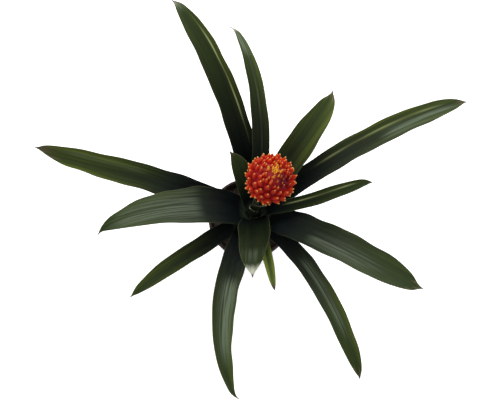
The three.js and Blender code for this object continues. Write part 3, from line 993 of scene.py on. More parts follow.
LEAVES = [
    LeafPlan(
        "leaf_right_small", 1, 120, -14, 33, 1, -5, 61.5, -8.5, 211, 18.5, 9, 6,
        tone=0.58, olive=0.5, sunny=1, ridge_highlight=0.35, ridge_shine=0.75, hook=-18, dry=6,
    ),
    LeafPlan(
        "leaf_back_inner", 2, 65, 115.5, 22.5, 2.3, 4.5, 86, 40.5, 138, 29.5, 6.5, 4,
        tone=1.0, olive=0.2,
    ),
    LeafPlan(
        "leaf_front_inner", 2, 65, -93.5, 4.5, 1, 3.5, 76, -5, 166, 45, 6, 13,
        tone=0.5, olive=0.36, pale_tip=1, painted_sheen=0.3, sheen_width=0.9, sheen_start=0.76, dry=20,
    ),
    LeafPlan(
        "leaf_back_right", 3, 55, 47.5, 15.5, 3.3, -0.5, 61.5, -2, 229, 41, 6.5, 5,
        tone=0.8, olive=1.0, sunny=-1, hook=15, dry=15,
    ),
    LeafPlan(
        "leaf_left_wide", 3, 60, 189, 8.5, 2.2, 1, 60.5, -47, 272, 60, 3, 16,
        tone=0.82, olive=0.4, sunny=-1, hook=30,
        painted_sheen=0.45, sheen_width=0.9, sheen_start=0.42, dry=10,
    ),
    LeafPlan(
        "leaf_front_right_wide", 4, 52, -36, 7.5, 2.5, -0.5, 57.5, -15.5, 311, 43, 9, 1,
        tone=0.9, olive=0.27, sunny=0.4, painted_sheen=0.38, sheen_side=-0.3, sheen_width=0.4, sheen_end=0.85,
        hook=18, dry=19,
    ),
    LeafPlan(
        "leaf_back", 4, 50, 78.5, 39.5, 1.3, 1, 63.5, -16.5, 301, 25, 5.5, 34,
        tone=0.8, olive=0.55, sunny=-1, ridge_highlight=-0.15, ridge_shine=0.2, pale_tip=0.85, hook=25,
        painted_sheen=0.8, sheen_width=1.2, sheen_start=0.84, sheen_end=1.1, dry=15,
    ),
    LeafPlan(
        "leaf_back_left_long", 5, 60, 95.5, 29.5, 0.8, 0.5, 51, -11, 347, 34.5, 7, -4,
        tone=0.6, olive=0.65, sunny=-1, ridge_highlight=-0.55, pale_tip=0.25, hook=15,
        painted_sheen=0.9, sheen_width=1.2, sheen_start=0.95, sheen_end=1.1, dry=14,
    ),
    LeafPlan(
        "leaf_front_long", 5, 60, -111, 50, 2.2, 0.5, 42.5, -36, 312, 35.5, 6, -51,
        tone=0.95, olive=0.6, sunny=1, hook=30,
        painted_sheen=0.82, sheen_side=0.3, sheen_width=0.5, sheen_end=0.88, dry=8,
    ),
    LeafPlan(
        "leaf_right_long", 6, 55, 27.5, -8, 0.9, -1, 50.5, -15, 357, 32, 8.5, 6,
        tone=0.85, olive=0.7, sunny=1, ridge_highlight=0.35, hook=-8,
        painted_sheen=0.7, sheen_side=-0.3, sheen_width=0.35, sheen_start=0.65, sheen_end=1, dry=15,
    ),
    LeafPlan(
        "leaf_left_long", 6, 55, 171.5, -12, 3.2, -0.5, 44, -8, 337, 36, 9, -55,
        tone=1.0, olive=1.6, olive_start=0.38, sunny=-1, hook=12,
        painted_sheen=0.4, sheen_side=-0.4, sheen_width=0.2, sheen_start=0.55, dry=34,
    ),
    LeafPlan(
        "leaf_front_right_long", 7, 42, -48.5, -21, 0.8, 1, 46, -34, 308, 25.5, 9, 0,
        tone=0.82, olive=0.6, sunny=1, painted_sheen=0.5, sheen_width=0.36, sheen_start=0.4, sheen_end=0.85,
        hook=-8, dry=18,
    ),
    LeafPlan(
        "leaf_front_left", 7, 42, -144.5, 4, 0.7, 3, 39, -22, 224, 26, 5.5, -8,
        tone=0.72, olive=0.8, sunny=-1,
    ),
    LeafPlan(
        "leaf_front_narrow", 8, 40, -76, -0.5, 1.7, 2, 34, -27.5, 110, 13, 5.5, 0,
        # tone 3.1 is painted light: it lightens a leaf that the leaves over it shade.
        tone=3.1, olive=2.4,
    ),
]


@dataclass(frozen=True)
class Leaf(Assembly):
    """A strap leaf: a sheath that hugs the crown, a channelled blade and a drip tip.

    s is the share of the length from the foot, and u the place across, from 1 at the left margin to
    -1 at the right one. A pair of spans says where a relief sets in and where it dies out again.
    """

    slot: ClassVar[Slot] = Slot.LEAF
    plan: LeafPlan
    number: int
    crown: Crown
    sheath_pitch: float = 82
    turn_length: float = 36
    turn_step: float = 3
    bend_late: float = 1.4
    channel: float = 24
    sheath_length: float = 34
    sheath_end: float = 1.5
    curl_length: float = 41
    curl_end: float = 1.3
    neck_depth: float = 0.06
    neck_place: float = 0.2
    neck_reach: float = 0.16
    tip_fullness: float = 0.85
    tip_reach: float = 0.22
    tip_point: float = 1.33
    tip_half_width: float = 0.75
    tip_share: float = 0.1
    tip_thinness: float = 0.55
    mid_thickness: float = 1.1
    edge_thickness: float = 0.6
    margin_round: int = 30
    hook_reach: float = 22.0
    fold_width: float = 9.0
    fold_depth: float = 0.15
    fold_turn: float = 2.3
    fine_fold: float = 0.55
    fine_height: float = 0.5
    fine_turn: float = 1.7
    fold_wander: float = 0.7
    wander_length: float = 70.0
    fold_spans: tuple[Span, Span] = ((0.12, 0.35), (0.02, 0.2))
    ridge_width: float = 0.8
    ridge_height: float = 0.3
    ridge_flicker: float = 0.35
    flicker_length: float = 13.0
    ridge_spans: tuple[Span, Span] = ((0.3, 0.45), (0.08, 0.2))
    wave_length: float = 47.0
    wave_height: float = 0.35
    wave_spans: tuple[Span, Span] = ((0.25, 0.5), (0.0, 0.1))
    play_length: float = 78.0
    play_share: float = 0.03
    play_turns: Span = (1.9, 2.2)
    second_share: float = 0.6
    second_pace: float = 1.73
    play_spans: tuple[Span, Span] = ((0.15, 0.4), (0.0, 0.08))
    # How quickly the painted sheen sets in and fades out along a leaf.
    sheen_onset: float = 0.04
    sheen_fade: float = 0.15
    olive_middle: float = 0.2
    olive_margin: float = 0.5
    olive_fall: float = 1.6
    olive_sunny: float = 0.5
    olive_full: float = 0.8
    steps: int = 170
    walk_steps: int = 4000
    crowding: float = 0.5
    across: int = 32

    @property
    def node(self) -> str:
        """The leaf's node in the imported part."""
        return self.plan.name

    @property
    def piece_name(self) -> str:
        """The name of the leaf's piece."""
        return self.plan.name + "_blade"

    def pitch(self, s: np.ndarray) -> np.ndarray:
        """Angle above level, in radians.

        The rise, plus the sheath's steepness that dies away exponentially with the distance from
        the foot, less the bend: rise less end, times s to the power of how late it bends.

        Args:
            s: shares along the leaf.

        Returns:
            The angle at each.
        """
        plan = self.plan
        turn_length = self.turn_length - self.turn_step * (plan.tier - 1)
        sheath = (self.sheath_pitch - plan.rise) * np.exp(-s * plan.length / turn_length)
        return np.radians(plan.rise + sheath - (plan.rise - plan.end) * s**self.bend_late)

    def heading(self, s: np.ndarray) -> np.ndarray:
        """Angle about the upright from +X, in radians: azimuth, the sweep, one sway and the hook.

        Args:
            s: shares along the leaf.

        Returns:
            The angle at each.
        """
        plan = self.plan
        hook = plan.hook * (1 - smooth_step((1 - s) * plan.length, 0, self.hook_reach))
        sway = plan.sway * np.sin(s * FULL_TURN)
        return np.radians(plan.azimuth + plan.sweep * s**plan.late + sway + hook)

    def direction(self, s: np.ndarray) -> np.ndarray:
        """Unit vectors along the midrib, from the pitch and the heading."""
        pitch, heading = self.pitch(s), self.heading(s)
        return stacked(np.cos(pitch) * np.cos(heading), np.cos(pitch) * np.sin(heading), np.sin(pitch))

    def midrib(self, s: np.ndarray) -> np.ndarray:
        """The midrib: the foot on its tier, plus the direction summed along the leaf in fine steps.

        Args:
            s: shares along the leaf.

        Returns:
            The point at each.
        """
        fine = np.linspace(0, 1, self.walk_steps)
        along = self.direction(fine)
        middle = (along[1:] + along[:-1]) / 2 * (self.plan.length / (self.walk_steps - 1))
        walked = np.concatenate([np.zeros((1, 3)), np.cumsum(middle, axis=0)])
        turn, radius = self.heading(np.zeros(1))[0], self.crown.radius(self.plan.tier)
        foot = [self.crown.x + radius * np.cos(turn), self.crown.y + radius * np.sin(turn)]
        return on_line(s, fine, walked + np.array([*foot, self.crown.height(self.plan.tier)]))

    def half_width(self, s: np.ndarray) -> np.ndarray:
        """Half the width round the curl.

        The blade's outline is one less s to the taper, to the power of its fullness, times a drip
        tip that closes exponentially. It narrows a little at the neck, and the sheath's width goes
        over into it.

        Args:
            s: shares along the leaf.

        Returns:
            Half the width at each.
        """
        plan = self.plan
        to_tip = (1 - s) * plan.length / (self.tip_reach * plan.width)
        outline = (1 - s**plan.taper) ** self.tip_fullness * (1 - np.exp(-(to_tip**self.tip_point)))
        neck = 1 - self.neck_depth * hill(s, self.neck_place, self.neck_reach)
        blade = plan.width / 2 * outline * neck + self.tip_half_width
        sheath = self.crown.radius(plan.tier) * np.radians(plan.wrap)
        opened = 1 - np.exp(-((s * plan.length / self.sheath_length) ** self.sheath_end))
        return lerp(sheath, blade, opened)

    def curl(self, s: np.ndarray) -> np.ndarray:
        """How far the section curls to each side: round the crown at the foot, a channel above."""
        closing = np.exp(-((s * self.plan.length / self.curl_length) ** self.curl_end))
        return np.radians(lerp(self.channel, self.plan.wrap, closing))

    def relief(self, s: np.ndarray, u: np.ndarray) -> np.ndarray:
        """How far both faces are raised: soft folds along the blade, and the ridge under its painted
        highlight.

        The folds are two cosines of the distance across, the second finer and half as high. They
        wander along the leaf by a slow sine, and die out at the foot, the tip and the margins.

        Args:
            s: shares along the leaf.
            u: places across.

        Returns:
            The height at each, in millimetres.
        """
        across, along = u * self.half_width(s), s * self.plan.length
        wander = self.fold_wander * np.sin(along / self.wander_length + self.number)
        phase = self.number * self.fold_turn + wander
        wide = np.cos(across * FULL_TURN / self.fold_width + phase)
        fine = np.cos(across * FULL_TURN / (self.fine_fold * self.fold_width) - self.fine_turn * phase)
        folds = wide + self.fine_height * fine
        raised = self.fold_depth * folds * faded(s, self.fold_spans) * (1 - u**4)
        return raised + self.ridge_height * self.ridge_highlight(s, u)

    def ridge_highlight(self, s: np.ndarray, u: np.ndarray) -> np.ndarray:
        """The ridge's strength, which also sets its painted highlight: a bell across, flickering along, and
        none near both ends.

        Args:
            s: shares along the leaf.
            u: places across.

        Returns:
            The strength at each, up to 1.
        """
        plan = self.plan
        if plan.ridge_highlight is None:
            return np.zeros(np.broadcast(s, u).shape)
        bell = hill((u - plan.ridge_highlight) * self.half_width(s), 0, self.ridge_width)
        flicker = np.sin(s * plan.length / self.flicker_length + self.number)
        strength = 1 - self.ridge_flicker + self.ridge_flicker * flicker
        return plan.ridge_shine * bell * strength * faded(s, self.ridge_spans)

    def painted_sheen(self, s: np.ndarray, u: np.ndarray) -> np.ndarray:
        """The painted sheen's strength: a bell across, which sets in and fades out along the leaf.

        Args:
            s: shares along the leaf.
            u: places across.

        Returns:
            The strength at each, up to 1.
        """
        plan = self.plan
        along = smooth_step(s, plan.sheen_start - self.sheen_onset, plan.sheen_start + self.sheen_onset)
        fade = smooth_step(1 - s, 1 - plan.sheen_end, 1 + self.sheen_fade - plan.sheen_end)
        return plan.painted_sheen * hill(u, plan.sheen_side, plan.sheen_width) * along * fade

    def placed(self, s: np.ndarray, u: np.ndarray) -> np.ndarray:
        """The place across, moved in and out a little along each margin by two slow waves.

        Args:
            s: shares along the leaf.
            u: places across.

        Returns:
            The moved places.
        """
        along = s * self.plan.length * FULL_TURN / self.play_length
        start = self.play_turns[0] * self.number + self.play_turns[1] * np.sign(u)
        play = np.sin(along + start) + self.second_share * np.sin(self.second_pace * along + 2 * start)
        return u * (1 + self.play_share * play * faded(s, self.play_spans) * np.abs(u))

    def surface(self) -> Surface:
        """The leaf as a closed section carried along its midrib.

        The section's angle runs once round: its cosine is the place across, from the left margin
        at 1 to the right at -1, and the upper face comes first. Each point lies on a circle of
        the bow's radius, with half the thickness to either side of it, and the thickness closes
        at the margins as the root of one less u to a high power. A slow wave lifts the margins.

        Returns:
            The surface with its paint.
        """
        plan = self.plan
        even = np.linspace(0, 1, self.steps)
        s = lerp(even, (1 - np.cos(np.pi * even)) / 2, self.crowding)[:, None]
        turn = turns(2 * self.across)
        u, upper = np.cos(turn), np.where(turn <= np.pi, 1.0, -1.0)
        tangent, heading = self.direction(s), self.heading(s)
        level = stacked(-np.sin(heading), np.cos(heading), 0.0)
        roll = np.radians(plan.roll) * s[..., None]
        across = level * np.cos(roll) + np.cross(tangent, level) * np.sin(roll)
        up = np.cross(tangent, across)
        curl, half = self.curl(s), self.half_width(s)
        bow = half / curl
        thin = lerp(self.tip_thinness, 1.0, np.clip((1 - s) / self.tip_share, 0, 1))
        thick = lerp(self.mid_thickness, self.edge_thickness, u**2) * thin
        radius = bow - upper * thick * rounded_off(u, self.margin_round) / 2 - self.relief(s, u)
        wave = np.sin(s * plan.length * FULL_TURN / self.wave_length + self.number * 1.9 + u)
        lift = self.wave_height * wave * u**4 * faded(s, self.wave_spans)
        angle = curl * self.placed(s, u)
        rings = (
            self.midrib(s)
            + across * (radius * np.sin(angle))[..., None]
            + up * (bow - radius * np.cos(angle) + lift)[..., None]
        )
        return tubes(rings[None], values=self.values(s, u, upper, half))

    def values(
        self, s: np.ndarray, u: np.ndarray, upper: np.ndarray, half: np.ndarray
    ) -> dict[Paint, np.ndarray]:
        """The paint of the leaf's rings. Both margins are more olive than the middle, the sunny one most.

        Args:
            s: shares along the leaf, one for each ring.
            u: places across, one for each column.
            upper: 1 on the upper face and -1 on the underside.
            half: half the width at each ring.

        Returns:
            Rows of three values for each point of the rings.
        """
        plan = self.plan
        outwards = self.olive_middle + self.olive_margin * np.abs(u) ** self.olive_fall
        outwards = outwards + self.olive_sunny * smooth_step(plan.sunny * u, -0.2, 0.9)
        olive = plan.olive * smooth_step(s, plan.olive_start, self.olive_full) * outwards
        rows = {
            Paint.STRAP: (u * half, s * plan.length, self.number),
            Paint.ZONE: (s, (1 - np.abs(u)) * half, (1 - s) * plan.length / plan.dry),
            Paint.TRAIT: (plan.tone, olive, self.ridge_highlight(s, u)),
            Paint.FACE: (np.where(upper < 0, 1.0, 0.0), plan.pale_tip, self.painted_sheen(s, u)),
        }
        return {kind: stacked(*parts)[None] for kind, parts in rows.items()}


@dataclass(frozen=True)
class Egg:
    """A round body whose upper and lower halves differ in height."""

    radius: float
    top: float
    bottom: float

    def height(self, angle: np.ndarray) -> np.ndarray:
        """Height above the middle, at an angle from the top: its cosine times the half's height."""
        return np.cos(angle) * np.where(np.cos(angle) > 0, self.top, self.bottom)


@dataclass(frozen=True)
class Bunch:
    """How the bracts of one part of the head differ.

    reach and tone are spans that are drawn from, size is the span of their width as a share of the
    usual one, and thin how much of the width is lost in the parting.
    """

    reach: Span
    tone: Span
    size: Span = (1.0, 1.0)
    thin: float = 0.0


@dataclass(frozen=True)
class FlowerHead(Assembly):
    """The round head: an egg-shaped core with bracts in a golden-angle spiral."""

    piece_name: ClassVar[str] = "flower_head_bracts"
    node: ClassVar[str] = "flower_head"
    slot: ClassVar[Slot] = Slot.BRACT
    centre: tuple[float, float, float] = (27.5, 0, 272)
    lean: float = 9
    core: Egg = Egg(27.5, 37, 25)
    core_share: float = 0.96
    core_end: float = 0.06
    core_rings: int = 22
    core_sides: int = 40
    # How the core is painted: as a bract's low part, with painted shade all over and more in the parting.
    core_shade: float = 0.2
    gap_shade: float = 0.15
    parting_shade: float = 0.8
    tips: Egg = Egg(35.2, 44.5, 29.5)
    lowest_bract: float = 118
    bract_spacing: float = 11.5
    bract_width: float = 15
    bract_depth: float = 11.5
    bract_taper: float = 1.0
    bract_dip: float = 26
    bract_bulge: float = 1.4
    angle_play: float = 0.04
    turn_play: float = 0.045
    young_growth: float = 0.45
    young_reach: float = 62
    root_sink: float = 3.5
    tip_round: float = 0.06
    bead_radius: float = 0.5
    bead_place: float = 0.93
    bead_reach: float = 0.05
    spiral: Bunch = Bunch((0.88, 1.0), (0.86, 1.08), (0.94, 1.04), 0.6)
    flank_reach: float = 0.11
    crest: Bunch = Bunch((0.9, 0.99), (1.05, 1.2))
    crest_bracts: int = 14
    crest_reach: float = 8
    crest_width: float = 4.6
    crest_turn: float = 0.9
    collar: Bunch = Bunch((0.88, 0.98), (0.9, 1.08), (0.8, 1.15), 0.5)
    collar_yellow: float = 0.5
    collar_bracts: int = 24
    collar_start: float = 11
    collar_end: float = 36
    collar_width: float = 7.5
    collar_turn: float = 2.2
    yellow_reach: float = 24
    yellow_full: float = 0.35
    parting_angle: float = 37
    parting_turn: float = -38
    parting_reach: float = 0.25
    socket_depth: float = 9
    stalk_radius: float = 4.6
    clearance: float = 0.3
    stations: tuple[float, ...] = (0.0, 0.22, 0.42, 0.6, 0.75, 0.86, 0.93, 0.975)
    sides: int = 8
    seed: int = 9

    @property
    def axis(self) -> np.ndarray:
        """The way that the head's top points."""
        return np.array([np.sin(np.radians(self.lean)), 0, np.cos(np.radians(self.lean))])

    @property
    def front(self) -> np.ndarray:
        """The level way in which the head leans, square to its axis."""
        return np.cross(SIDEWAYS, self.axis)

    def level(self, angle: np.ndarray, turn: np.ndarray) -> np.ndarray:
        """The way out from the axis, as long as the sine of the angle."""
        out = np.sin(angle)
        return self.front * (out * np.cos(turn))[..., None] + SIDEWAYS * (out * np.sin(turn))[..., None]

    def on_egg(self, egg: Egg, angle: np.ndarray, turn: np.ndarray, scale: float = 1.0) -> np.ndarray:
        """Places on an egg: the centre, plus the axis times its height, plus the way out times its radius.

        Args:
            egg: the core or the egg of the bracts' tips.
            angle: angles to the head's axis.
            turn: turns about it.
            scale: the egg's size as a share of its own.

        Returns:
            The points.
        """
        out = self.level(angle, turn) * egg.radius * scale
        return np.array(self.centre) + self.axis * (egg.height(angle) * scale)[..., None] + out

    def growth(self, angle: np.ndarray | float) -> np.ndarray:
        """Size of a bract at an angle from the top, as a share of a full one."""
        return lerp(self.young_growth, 1.0, np.clip(angle / np.radians(self.young_reach), 0, 1))

    def angles(self) -> np.ndarray:
        """The angles of the spiral's bracts from the head's top.

        Each takes a patch of a ball of the tips' radius that is as large as the bract's place, and
        a patch lowers the cosine of the angle by its share of the area of half the ball.

        Returns:
            The angles in radians, from the top down.
        """
        half_ball = FULL_TURN * self.tips.radius**2
        cosine, angles = 1.0, []
        while cosine > np.cos(np.radians(self.lowest_bract)):
            patch = (self.bract_spacing * self.growth(np.arccos(cosine))) ** 2 / half_ball
            angles.append(np.arccos(cosine - patch / 2))
            cosine -= patch
        return np.array(angles)

    def spikes(
        self, angle: np.ndarray, turn: np.ndarray, reach: np.ndarray, width: np.ndarray, paint: np.ndarray
    ) -> Surface:
        """Plump pointed bracts that curve up to a bead at the tip.

        Each runs from inside the core to the egg of the tips, and starts lower by the dip times the
        sine of its angle. On the way it bulges outwards by a parabola, 4 s (1 - s), so that its tip
        turns up. Its half width is one less s to the taper, plus a bell-shaped bead, and it closes to
        the tip as the root of (1 - s).

        Args:
            angle: each bract's angle to the head's axis.
            turn: its turn about the axis.
            reach: how far it reaches, as a share of the way from its root to the egg of the tips.
            width: its width at the widest.
            paint: rows of its tone, how yellow it is and how far it lies in the parting.

        Returns:
            The surface of all the bracts.
        """
        s = np.array(self.stations)
        phi = turns(self.sides)
        dip = np.radians(self.bract_dip) * np.sin(angle)
        root = self.on_egg(self.core, angle + dip, turn, 1 - self.root_sink / self.core.radius)
        tip = lerp(root, self.on_egg(self.tips, angle, turn), reach[:, None])
        bulge = self.level(angle, turn) * (4 * self.bract_bulge)
        across = unit(np.cross(self.axis, bulge))[:, None]
        middle = lerp(root[:, None], tip[:, None], s[:, None]) + bulge[:, None] * (s * (1 - s))[:, None]
        along = (tip - root)[:, None] + bulge[:, None] * (1 - 2 * s)[:, None]
        back = unit(np.cross(along, across))
        width = width[:, None]
        closing = np.sqrt(np.clip((1 - s) / self.tip_round, 0, 1))
        bead = self.bead_radius * np.sqrt(width / self.bract_width)
        bead = bead * hill(s, self.bead_place, self.bead_reach)
        swell = width / 2 * (1 - s**self.bract_taper)
        half = (swell + bead) * closing
        deep = (swell * self.bract_depth / self.bract_width + bead) * closing
        rings = (
            middle[:, :, None]
            + across[:, :, None] * (half[..., None] * np.cos(phi))[..., None]
            + back[:, :, None] * (deep[..., None] * np.sin(phi))[..., None]
        )
        shape = rings.shape[:3]
        values = {
            Paint.ZONE: stacked(np.broadcast_to(s[:, None], shape), 0.0, 0.0),
            Paint.TRAIT: np.broadcast_to(paint[:, None, None], (*shape, 3)),
        }
        return tubes(rings, end=tip, values=values)

    def shaded_parting(self, angle: np.ndarray, turn: np.ndarray) -> np.ndarray:
        """How far a place lies in the parting, where the bracts stand narrow and apart and painted shade
        darkens them.

        Args:
            angle: angles to the head's axis.
            turn: turns about it.

        Returns:
            A bell of the distance to the parting's middle, on a ball of radius 1.
        """
        spot = np.radians([self.parting_angle]), np.radians([self.parting_turn])
        place, middle = (unit(self.on_egg(self.core, *way) - self.centre) for way in ((angle, turn), spot))
        return hill(np.linalg.norm(place - middle, axis=-1), 0, self.parting_reach)

    def spiral_bracts(self, chance: np.random.Generator) -> Surface:
        """The bracts of the spiral, each a little different, and the topmost a little yellow.

        Args:
            chance: where the differences are drawn from.

        Returns:
            Their surface.
        """
        bunch, even = self.spiral, self.angles()
        count = len(even)
        angle = even + chance.normal(0, self.angle_play, count)
        turn = np.arange(count) * GOLDEN_ANGLE + chance.normal(0, self.turn_play, count) / np.sin(even)
        apart = self.shaded_parting(angle, turn)
        reach = chance.uniform(bunch.reach[0], bunch.reach[1] + self.flank_reach * np.sin(angle))
        size = chance.uniform(*bunch.size, count)
        width = self.bract_width * self.growth(angle) * size * (1 - bunch.thin * apart)
        start, full = np.radians(self.yellow_reach), np.radians(self.yellow_full * self.yellow_reach)
        paint = stacked(chance.uniform(*bunch.tone, count), smooth_step(-angle, -start, -full), apart)
        return self.spikes(angle, turn, reach, width, paint)

    def collar_spikes(self, chance: np.random.Generator) -> Surface:
        """Young bracts between the crest and the spiral, a little yellow, at even cosines of the angle.

        Args:
            chance: where their differences are drawn from.

        Returns:
            Their surface.
        """
        bunch, number = self.collar, np.arange(self.collar_bracts)
        share = (number + 0.5) / self.collar_bracts
        ends = np.cos(np.radians([self.collar_start, self.collar_end]))
        angle, turn = np.arccos(lerp(*ends, share)), number * GOLDEN_ANGLE + self.collar_turn
        apart = self.shaded_parting(angle, turn)
        reach = chance.uniform(*bunch.reach, len(number))
        width = self.collar_width * lerp(*bunch.size, share) * (1 - bunch.thin * apart)
        yellow = self.collar_yellow * (1 - share)
        paint = stacked(chance.uniform(*bunch.tone, len(number)), yellow, apart)
        return self.spikes(angle, turn, reach, width, paint)

    def crest_spikes(self, chance: np.random.Generator) -> Surface:
        """The youngest bracts, small and yellow, at the head's top.

        Args:
            chance: where their differences are drawn from.

        Returns:
            Their surface.
        """
        number = np.arange(self.crest_bracts)
        angle = np.radians(self.crest_reach) * np.sqrt((number + 0.5) / self.crest_bracts)
        turn = number * GOLDEN_ANGLE + self.crest_turn
        reach = chance.uniform(*self.crest.reach, len(number))
        paint = stacked(chance.uniform(*self.crest.tone, len(number)), 1.0, 0.0)
        return self.spikes(angle, turn, reach, np.full(len(number), self.crest_width), paint)

    def inside(self) -> Surface:
        """The core between the bracts, with the stalk's socket in its underside.

        Its outline starts in the socket's end, comes down the socket's wall and goes round the
        egg from the bottom up. It is painted as the low part of a bract with painted shade of the gaps
        between the bracts, darker still in the parting.

        Returns:
            The core's surface.
        """
        hole = self.stalk_radius + self.clearance
        lowest = np.pi - np.arcsin(hole / (self.core.radius * self.core_share))
        rise = np.linspace(lowest, self.core_end, self.core_rings)[:, None]
        angle, turn = np.broadcast_arrays(rise, turns(self.core_sides))
        end = np.array(self.centre) + self.axis * (self.socket_depth - self.core.bottom)
        mouth = end + self.level(np.full(self.core_sides, np.pi / 2), turn[0]) * hole
        rings = np.concatenate([mouth[None], self.on_egg(self.core, angle, turn, self.core_share)])
        apart = np.concatenate([np.zeros((1, self.core_sides)), self.shaded_parting(angle, turn)])
        values = {
            Paint.ZONE: np.full((1, *rings.shape), self.core_shade),
            Paint.TRAIT: stacked(1.0, 0.0, self.gap_shade + self.parting_shade * apart)[None],
        }
        top = self.on_egg(self.core, np.zeros(1), np.zeros(1), self.core_share)
        return tubes(rings[None], end[None], top, values)

    def surface(self) -> Surface:
        """The core and all the bracts, drawn from one seed.

        Returns:
            The whole head's surface.
        """
        chance = np.random.default_rng(self.seed)
        bracts = [grow(chance) for grow in (self.spiral_bracts, self.collar_spikes, self.crest_spikes)]
        return Surface.joined([self.inside(), *bracts])


@dataclass(frozen=True)
class Stem(Assembly):
    """The crown, the stalk on it, and the six bracts that hug the stalk."""

    piece_name: ClassVar[str] = "stem_and_bracts"
    node: ClassVar[str] = "stem"
    slot: ClassVar[Slot] = Slot.STEM
    crown: Crown
    head: FlowerHead
    radius: float = 4.6
    foot_flare: float = 1.4
    flare_fall: float = 3
    straight: float = 45
    line_steps: int = 400
    sections: int = 60
    sides: int = 28
    bracts: int = 6
    first_height: float = 24
    spacing: float = 13.5
    bract_length: float = 36
    bract_width: float = 17
    taper: float = 2.5
    spread: float = 9
    spread_late: float = 1.8
    first_turn: float = 215
    thickness: float = 0.9
    margin_round: int = 10
    root_share: float = 0.3
    root_sink: float = 1.2
    tip_half_width: float = 0.9
    rows: int = 26
    across: int = 14
    crown_rounding: float = 0.8
    crown_sides: int = 64
    streak_number: float = 31
    no_edge: float = 9.0
    root_tint: float = 0.2

    def line(self) -> tuple[np.ndarray, np.ndarray, np.ndarray]:
        """The stalk's line, a cubic curve.

        It leaves the crown upright and ends on the head's axis: (1-t) cubed of the foot, 3t (1-t)
        squared of the point straight above it, 3 t squared (1-t) of the point below the top, and
        t cubed of the top.

        Returns:
            Its points, its unit tangents and the length up to each point.
        """
        crown, head = self.crown, self.head
        foot = np.array([crown.x, crown.y, crown.top - crown.height_step])
        reach = head.socket_depth - head.core.bottom - head.clearance
        top = np.array(head.centre) + head.axis * reach
        above, below = foot + UP * self.straight, top - head.axis * self.straight
        t = np.linspace(0, 1, self.line_steps)[:, None]
        points = (1 - t) ** 3 * foot + 3 * t * (1 - t) ** 2 * above
        points = points + 3 * t**2 * (1 - t) * below + t**3 * top
        length = np.concatenate([[0], np.cumsum(np.linalg.norm(np.diff(points, axis=0), axis=1))])
        return points, unit(np.gradient(points, axis=0)), length

    def values(
        self, share: np.ndarray, across: np.ndarray, along: np.ndarray, edge: float | np.ndarray
    ) -> dict[Paint, np.ndarray]:
        """The paint of the stalk or a bract of it.

        Args:
            share: how far each ring has come from the stalk's green to the bracts'.
            across: distances across the piece.
            along: distance along the stalk at each ring.
            edge: distances to the nearest edge.

        Returns:
            Rows of three values for each point of the rings.
        """
        share, across, along, edge = np.broadcast_arrays(share[:, None], across, along[:, None], edge)
        return {
            Paint.STRAP: stacked(across, along, self.streak_number)[None],
            Paint.ZONE: stacked(share, edge, 0.0)[None],
        }

    def stalk(self) -> Surface:
        """A round tube on the line: the radius flares at the foot with the cube of (1 - share).

        Returns:
            The stalk's surface.
        """
        points, tangents, length = self.line()
        share = np.linspace(0, 1, self.sections)
        at = share * length[-1]
        centre, along = on_line(at, length, points), on_line(at, length, tangents)
        front = unit(np.cross(SIDEWAYS, along))
        turn = turns(self.sides)
        radius = self.radius + self.foot_flare * (1 - share) ** self.flare_fall
        out = front[:, None] * np.cos(turn)[:, None] + SIDEWAYS * np.sin(turn)[:, None]
        rings = centre[:, None] + out * radius[:, None, None]
        values = self.values(share * self.root_tint, turn * self.radius, at, self.no_edge)
        return tubes(rings[None], values=values)

    def bract(self, number: int) -> Surface:
        """One pointed bract of the stalk.

        The centre goes up the stalk's line. The distance from it is the stalk's radius plus the
        spread times s to the power of how late it spreads, and the half width is one less s to
        the taper. The outer face runs one way round and the inner face comes back.

        Args:
            number: counts from the lowest.

        Returns:
            The bract's surface.
        """
        points, _, length = self.line()
        s = np.linspace(0, 1, self.rows)
        at = np.clip(self.first_height + number * self.spacing + s * self.bract_length, 0, length[-1])
        turn = turns(2 * self.across)
        u, outer = -np.cos(turn), np.where(turn <= np.pi, 1.0, 0.0)
        half = (self.bract_width / 2 * (1 - s**self.taper) + self.tip_half_width)[:, None]
        base = (self.radius + self.spread * s**self.spread_late)[:, None]
        sink = np.where(s < self.root_share, self.root_sink, 0.0)[:, None]
        face = (outer - 0.5) * (self.thickness + sink) * rounded_off(u, self.margin_round)
        radius = base + (self.thickness - sink) / 2 + face
        angle = np.radians(self.first_turn) - number * GOLDEN_ANGLE + half / base * u
        out = stacked(np.cos(angle), np.sin(angle), 0.0)
        rings = on_line(at, length, points)[:, None] + out * radius[..., None]
        edge = np.minimum((1 - np.abs(u)) * half, ((1 - s) * self.bract_length)[:, None])
        values = self.values(lerp(self.root_tint, 1.0, s), u * half, at, edge)
        return tubes(rings[None], values=values)

    def crown_body(self) -> Surface:
        """The crown turned about its axis: the buried end, the shoulder and the stepped top.

        Returns:
            The crown's surface.
        """
        crown = self.crown
        slope = crown.height_step / crown.radius_step
        shoulder = crown.height(1) - crown.foot_gap - (crown.shoulder_radius - crown.radius(1)) * slope
        corners = crown.root_outline(0.0) + [
            [crown.shoulder_radius, shoulder],
            [crown.radius(1) - crown.radius_step / 2, crown.top],
            [0, crown.top],
        ]
        outline = rounded(np.array(corners, float), self.crown_rounding)
        body = turned(outline, self.crown_sides, (crown.x, crown.y))
        zone = np.tile([0.0, self.no_edge, 0.0], (len(body.points), 1))
        body.values = {Paint.STRAP: body.points[:, [0, 2, 1]], Paint.ZONE: zone}
        return body

    def surface(self) -> Surface:
        """The crown, the stalk and its bracts."""
        return Surface.joined([self.crown_body(), self.stalk(), *map(self.bract, range(self.bracts))])


